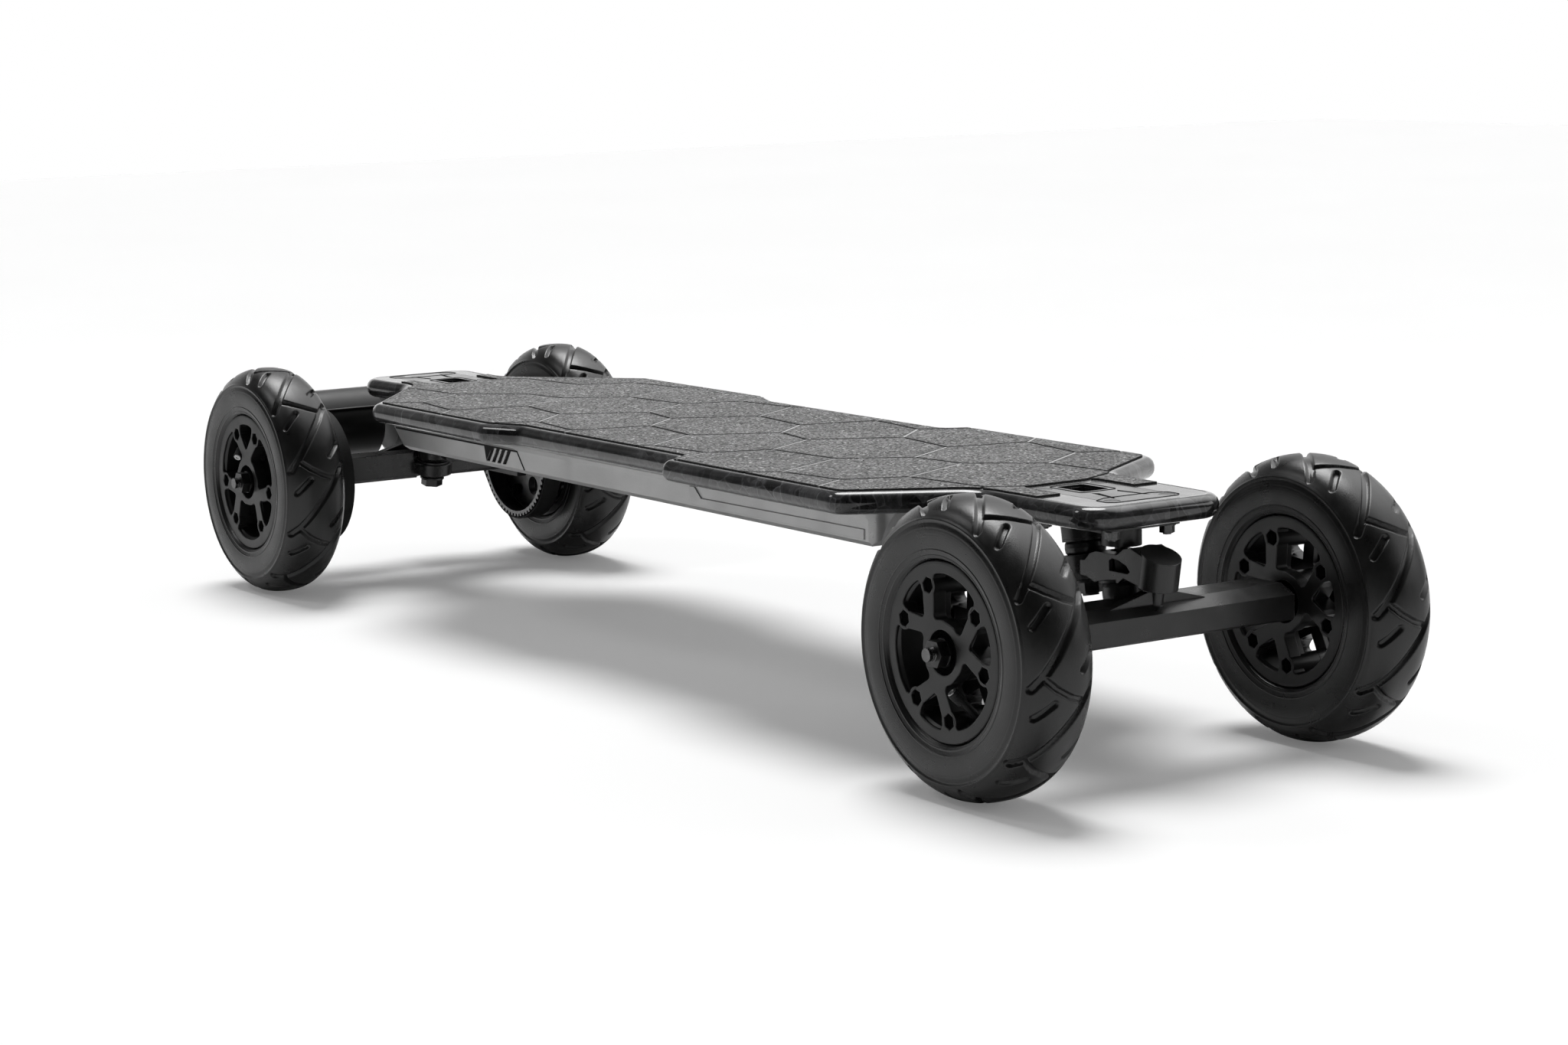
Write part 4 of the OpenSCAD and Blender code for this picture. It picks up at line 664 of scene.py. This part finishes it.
def half_section():
    """Outside of a tyre from the flange to the crown, as radius and offset."""
    pts = []
    for a in np.radians(np.linspace(0, 90, 60)):
        out = (TYRE_HALF - FLANGE_Y) * math.sin(a)
        pts.append((SIDE_R - (SIDE_R - FLANGE_R) * math.cos(a), FLANGE_Y + out))
    for a in np.radians(np.linspace(0, 90, 400))[1:]:
        rise, reach = math.sin(a) ** FULLNESS, max(0.0, math.cos(a)) ** FULLNESS
        pts.append((SIDE_R + (TYRE_R - SIDE_R) * rise, TYRE_HALF * reach))
    return np.array(pts)


def ridge(x, at, width, height):
    return height * np.clip(1 - np.abs(x - at) / width, 0, 1) ** 0.7


def groove_distance(x, s, legs):
    """Distance in the unrolled tread to the nearest groove's edge; x runs round the tyre."""
    pitch = REPEAT * TYRE_R * math.pi / 180
    x = np.mod(x, pitch)
    best = np.full(np.broadcast(x, s).shape, 9.0)
    for shift in (-pitch, 0, pitch):
        for (x0, s0, x1, s1, w) in legs:
            dx, ds = x1 - x0, s1 - s0
            px, ps = x - x0 - shift, s - s0
            t = np.clip((px * dx + ps * ds) / (dx * dx + ds * ds), 0, 1)
            best = np.minimum(best, np.hypot(px - t * dx, ps - t * ds) - w / 2)
    return best


def tyre_mesh(quick):
    """Points of a tyre, ring by ring, and how many rings and points in a ring there are."""
    half = half_section()
    full = np.vstack([half, (half * [1, -1])[::-1][1:]])
    run = np.concatenate([[0], np.cumsum(np.hypot(*np.diff(full, axis=0).T))])
    run = run[-1] / 2 - run                       # from one flange, positive, to the other
    order = np.argsort(run)
    line_s, line_r, line_y = run[order], full[order, 0], full[order, 1]

    def by_r(r):
        return float(np.interp(r, half[:, 0], line_s[::-1][:len(half)]))

    def by_y(y):
        part = line_r > SIDE_R
        return float(np.interp(y, line_y[part], line_s[part]))

    crown = by_r(SIDE_R)
    k = TYRE_R * math.pi / 180
    legs = [(a0 * k, by_y(y0), a1 * k, by_y(y1), w) for a0, y0, a1, y1, w in TREAD]
    fine, coarse = (1.3, 2.4) if quick else (0.62, 1.3)
    n = 420 if quick else 880
    side = np.append(np.arange(crown + 1.5, line_s[-1], coarse), line_s[-1])
    for at, width, height in RINGS:
        side = np.append(side, by_r(at) + width * np.array([-1.3, -1.0, -0.6, -0.2, 0.2, 0.6, 1.0, 1.3]))
    side = np.unique(np.round(side[side > crown + 0.8], 2))
    mid = np.linspace(-crown - 0.5, crown + 0.5, int(2 * crown / fine))
    s_grid = np.unique(np.concatenate([-side, mid, side]))
    x = np.linspace(0, 360 * k, n, endpoint=False)[:, None] + 0 * s_grid[None, :]
    s = 0 * x + s_grid[None, :]
    h = 0.05                                      # step for the slopes
    d = groove_distance(x, s, legs)
    gx = (groove_distance(x + h, s, legs) - groove_distance(x - h, s, legs)) / (2 * h)
    gs = (groove_distance(x, s + h, legs) - groove_distance(x, s - h, legs)) / (2 * h)
    size = np.maximum(np.hypot(gx, gs), 1e-6)
    goal = np.where(d > WALL + LIP / 2, WALL + LIP, np.where(d > 0, WALL, -WALL))
    move = np.where((np.abs(goal - d) < SNAP) & (size > 0.7) & (np.abs(s) < crown), goal - d, 0.0)
    x, s = x + move * gx / size, s + move * gs / size
    d = groove_distance(x, s, legs)
    r, y = np.interp(s, line_s, line_r), np.interp(s, line_s, line_y)
    dr = np.interp(s + h, line_s, line_r) - np.interp(s - h, line_s, line_r)
    dy = np.interp(s + h, line_s, line_y) - np.interp(s - h, line_s, line_y)
    size = np.maximum(np.hypot(dr, dy), 1e-9)
    nr, ny = dy / size, -dr / size
    wall = 1 - np.clip((d + WALL) / (2 * WALL), 0, 1)
    lip = 1 - np.clip((d - WALL) / LIP, 0, 1)
    push = -((GROOVE - LIP_DROP) * wall + LIP_DROP * lip) * np.clip((r - GROOVE_R) / GROOVE_FADE, 0, 1)
    for at, fade, fall in STEPS:
        push = push - fall * np.clip((at - r) / fade, 0, 1)
    for at, width, height in RINGS:
        push = push + ridge(r, at, width, height)
    rr, yy = r + nr * push, y + ny * push
    inner = np.array(CASING + [(q, -w) for q, w in CASING[-2::-1]], float)
    a = x / k * math.pi / 180
    a_in = np.repeat(np.linspace(0, 2 * math.pi, n, endpoint=False)[:, None], len(inner), 1)
    rr = np.hstack([rr, np.repeat(inner[None, :, 0], n, 0)])
    yy = np.hstack([yy, np.repeat(inner[None, :, 1], n, 0)])
    a = np.hstack([a, a_in])
    pts = np.stack([rr * np.cos(a), yy, rr * np.sin(a)], -1)
    return pts.reshape(-1, 3), pts.shape[0], pts.shape[1]


def tyres():
    """The same tyre on each wheel, turned in its mesh, so that its box stays that of the tyre."""
    points, rings, around = tyre_mesh(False)
    pattern = new_mesh("tyre", points, grid_faces(rings, around), "tyre")
    for key, body in WHEEL_BODY.items():
        me = pattern.copy()
        me.transform(Matrix.Rotation(math.radians(-TREAD_TURN[key]), 4, "Y"))
        o = add_piece(key + "_tyre_tread", me, body, WHEEL_AT[key])
        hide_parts(key + "_tyre")
    bpy.data.meshes.remove(pattern)


tyres()


# Plates over the trucks: inlaid lines

LINE_R, LINE_SINK = 0.36, 0.05
PLATE_LINES = {                        # x from the axle, y, radius of the corner
    "frame": mirrored([(-19, -17, 2), (-14, -27.5, 3), (-4, -27.5, 3), (-0.6, -23, 3)]),
    "hatch": mirrored([(-76, -13.5, 3), (-44, -13.5, 3)]),
}


def wire(name, path, z, r, slot, body):
    """A thin closed wire along a path in XY."""
    pts, m = [], len(path)
    for i in range(m):
        t = path[(i + 1) % m] - path[i - 1]
        t /= np.linalg.norm(t)
        for a in np.linspace(0, 2 * math.pi, 6, endpoint=False):
            q = path[i] + np.array([-t[1], t[0]]) * r * math.cos(a)
            pts.append((q[0], q[1], z + r * math.sin(a)))
    add_mesh(name, pts, [f[::-1] for f in grid_faces(m, 6)], slot, body)


for end, axle_x, way in (("nose", FRONT_X, 1), ("tail", REAR_X, -1)):
    for what, path in PLATE_LINES.items():
        line = round_off(path, 4) * [way, 1] + [axle_x, 0]
        wire(end + "_plate_" + what, line, DECK_TOP - LINE_SINK, LINE_R, "seal", "deck")


# Covers: the dark joint between them and the shaded vents, on both sides

COVER_Y, SIDE_LOW = 86.0, 124.0        # flat side wall of the covers and its lower edge
JOINT_Z, JOINT_BACK, JOINT_HALF = 136.4, -320.0, 0.75
VENT_X, VENT_PITCH, VENT_REAR = -162.15, 8.0, 5.5    # middle of the row, its pitch, a slot's rear corner
VENT_LOW, VENT_TOP, VENT_WIDE, VENT_LEAN = 125.5, 133.5, 5.0, 0.75
VENT_FRONT = -143.0                    # the joint turns down ahead of this
WEDGE = 3.0                            # how far the shade widens beside the rearmost vent
VENT_SHADE_SHEET = (-184.0, 124.5, -141.0, 134.5)     # corners of the dark sheet behind the vents, painted shade, in x and z


def side_prisms(name, shapes, inner, outer):
    """Flat prisms on the covers' side walls, from outlines in XZ that run the same way round."""
    pts, faces = [], []
    for side in (-1, 1):
        for shape in shapes:
            k, m = len(pts), len(shape)
            pts += [(x, side * (COVER_Y + y), z) for y in (inner, outer) for x, z in shape]
            ring = [tuple(range(k, k + m))[::-1], tuple(range(k + m, k + 2 * m))]
            ring += [(k + i, k + (i + 1) % m, k + m + (i + 1) % m, k + m + i) for i in range(m)]
            faces += [f[::-side] for f in ring]
    add_mesh(name, pts, faces, "seal", "deck", smooth=False)


def joint_path():
    """The rear cover's edge on the flat side wall, from the back to the bottom."""
    edge = {}
    for v in nodes["rear_cover"].data.vertices:
        x, y, z = (c / MM for c in v.co)
        if abs(y + COVER_Y) < 0.05 and x > VENT_FRONT and SIDE_LOW - 0.1 < z < JOINT_Z:
            edge[round(z, 1)] = max(x, edge.get(round(z, 1), x))
    down = [(edge[z], z) for z in sorted(edge, reverse=True)]
    return np.array([(JOINT_BACK, JOINT_Z), (down[0][0] - 0.5, JOINT_Z), *down])


def joint_shape(path, half):
    """Outline of a strip along the middle of a path."""
    way = np.diff(path, axis=0)
    way /= np.linalg.norm(way, axis=1)[:, None]
    way = np.vstack([way[:1], way[:-1] + way[1:], way[-1:]])
    way /= np.linalg.norm(way, axis=1)[:, None]
    off = np.column_stack([-way[:, 1], way[:, 0]]) * half
    return [tuple(p) for p in np.vstack([path - off, (path + off)[::-1]])]


def vent_shapes():
    """Shade from each slot up to the joint, and a wedge beside the rearmost one."""
    shapes = []
    for k in (-1.5, -0.5, 0.5, 1.5):
        low = VENT_X + k * VENT_PITCH - VENT_REAR
        top = low + VENT_LEAN * (VENT_TOP - VENT_LOW)
        end = low + VENT_LEAN * (JOINT_Z - VENT_LOW)
        wide = VENT_WIDE
        shapes.append([(top, VENT_TOP), (top + wide, VENT_TOP), (end + wide, JOINT_Z), (end, JOINT_Z)])
        if k < -1:
            shapes.append([(low, VENT_LOW), (top, VENT_TOP), (end, JOINT_Z), (low - WEDGE, JOINT_Z)])
    return shapes


def vent_shade_sheet():
    """A dark sheet that fills the slots a little way in, as painted shade inside the vents."""
    x0, z0, x1, z1 = VENT_SHADE_SHEET
    return [(x0, z0), (x1, z0), (x1, z1), (x0, z1)]


side_prisms("cover_joint", [joint_shape(joint_path(), JOINT_HALF)], -0.2, 0.08)
side_prisms("vent_shade", vent_shapes(), -0.2, 0.05)
side_prisms("vent_shade_sheet", [vent_shade_sheet()], -1.4, -1.0)


# Floor, light, camera

FLOOR_HALF, FLOOR_GLOW = 7.0, 0.14     # half its side, and the glow that only the camera sees


def floor():
    """A pale floor, white where nothing shades it."""
    s = Stuff("floor")
    s.set(Base_Color=s.mix(s.noise(1.5, 2), 0.86, 0.9), Specular_IOR_Level=0.2)
    s.set(Roughness=s.spread(s.noise(5, 3), 0.3, 0.7, 0.75, 0.9))
    seen = s.node("LightPath").outputs["Is Camera Ray"]
    s.set(Emission_Color=(1, 1, 1, 1), Emission_Strength=s.calc("MULTIPLY", seen, FLOOR_GLOW))
    me = bpy.data.meshes.new("floor")
    k = FLOOR_HALF
    me.from_pydata([(-k, -k, 0), (k, -k, 0), (k, k, 0), (-k, k, 0)], [], [(0, 1, 2, 3)])
    me.materials.append(s.m)
    o = bpy.data.objects.new("floor", me)
    scene.collection.objects.link(o)


AMBIENT, DIM = 0.22, 0.03              # light from all round, and what gloss sees beside the backdrop
BACKDROP = (-0.83, 0.55, 0.0)          # direction of its middle
SOFT_BOX, BOX_LEVEL = (-0.10, 0.55, 0.83), 2.4       # direction and brightness, for gloss only
LAMP_AWAY, MIDDLE_UP = 2.6, 0.12       # distance of the lamps from the board's middle, and its height


def studio():
    """White all round for the camera; gloss sees the backdrop and a soft box in a dim room."""
    world = bpy.data.worlds.new("studio")
    scene.world = world
    world.use_nodes = True
    t = world.node_tree
    t.nodes.clear()

    def node(kind, *values, out=0, **props):
        return add_node(t, kind, values, **props).outputs[out]

    path = add_node(t, "LightPath").outputs
    way = node("TexCoord", out="Generated")
    up = node("SeparateXYZ", way, out=2)
    back = node("VectorMath", way, BACKDROP, operation="DOT_PRODUCT", out="Value")
    # the backdrop ends a little above the horizon and fades towards its sides
    low = node("MapRange", up, 0.25, 0.5, 1.0, 0.0)
    near = node("MapRange", back, 0.45, 0.8, 0.0, 1.0)
    lit = node("Math", low, near, operation="MULTIPLY")
    wall = node("MapRange", lit, 0.0, 1.0, DIM, 1.0)
    above = node("VectorMath", way, SOFT_BOX, operation="DOT_PRODUCT", out="Value")
    box = node("MapRange", above, 0.76, 0.96, 0.0, BOX_LEVEL)
    wall = node("Math", wall, box, operation="ADD")
    # a mix of two numbers has them third and fourth
    gloss = node("Mix", path["Is Glossy Ray"], None, AMBIENT, wall)
    seen = node("Math", path["Is Camera Ray"], path["Is Transmission Ray"], operation="MAXIMUM")
    level = node("Mix", seen, None, gloss, 1.0)
    add_node(t, "OutputWorld", (node("Background", (1, 1, 1, 1), level),))


def lamp(name, kind, way, energy):
    """A lamp that shines from the given direction."""
    light = bpy.data.lights.new(name, kind)
    light.energy = energy
    o = bpy.data.objects.new(name, light)
    scene.collection.objects.link(o)
    o.rotation_euler = Vector(way).to_track_quat("Z", "Y").to_euler()
    return o


def area_lamp(name, way, size, power):
    """A rectangle of light that looks at the middle of the board."""
    o = lamp(name, "AREA", way, power)
    o.data.shape = "RECTANGLE"
    o.data.size, o.data.size_y = size
    o.location = Vector(way).normalized() * LAMP_AWAY + Vector((0, 0, MIDDLE_UP))


def lights():
    studio()
    lamp("key", "SUN", (-0.36, 0.12, 0.92), 2.45).data.angle = math.radians(32)
    area_lamp("high_left", (-0.50, -0.55, 0.75), (0.5, 0.5), 5.0)
    area_lamp("nose_left", (0.62, 0.75, 0.30), (1.2, 0.7), 6.0)


AZIMUTH, ELEVATION, ROLL = 56.30, 8.74, -1.09        # degrees
CAMERA_AT = (1960.3 + MID_X, -1259.9, 450.6)
FOCAL, PHOTO_WIDTH = 4446, 2048        # pixels of the photograph


def camera():
    """The photograph's viewpoint."""
    a, e, roll = (math.radians(v) for v in (AZIMUTH, ELEVATION, ROLL))
    back = Vector((math.sin(a) * math.cos(e), -math.cos(a) * math.cos(e), math.sin(e)))
    right = Vector((math.cos(a), math.sin(a), 0))
    up = back.cross(right)
    side = right * math.cos(roll) + up * math.sin(roll)
    top = up * math.cos(roll) - right * math.sin(roll)
    cam = bpy.data.cameras.new("camera")
    cam.sensor_fit = "HORIZONTAL"
    cam.lens = FOCAL / PHOTO_WIDTH * cam.sensor_width
    cam.clip_start, cam.clip_end = 0.05, 50          # metres
    o = bpy.data.objects.new("camera", cam)
    scene.collection.objects.link(o)
    place = Matrix((side, top, back)).transposed().to_4x4()
    place.translation = Vector(CAMERA_AT) * MM
    o.matrix_world = place
    scene.camera = o


floor()
lights()
camera()
scene.view_settings.view_transform = "Standard"
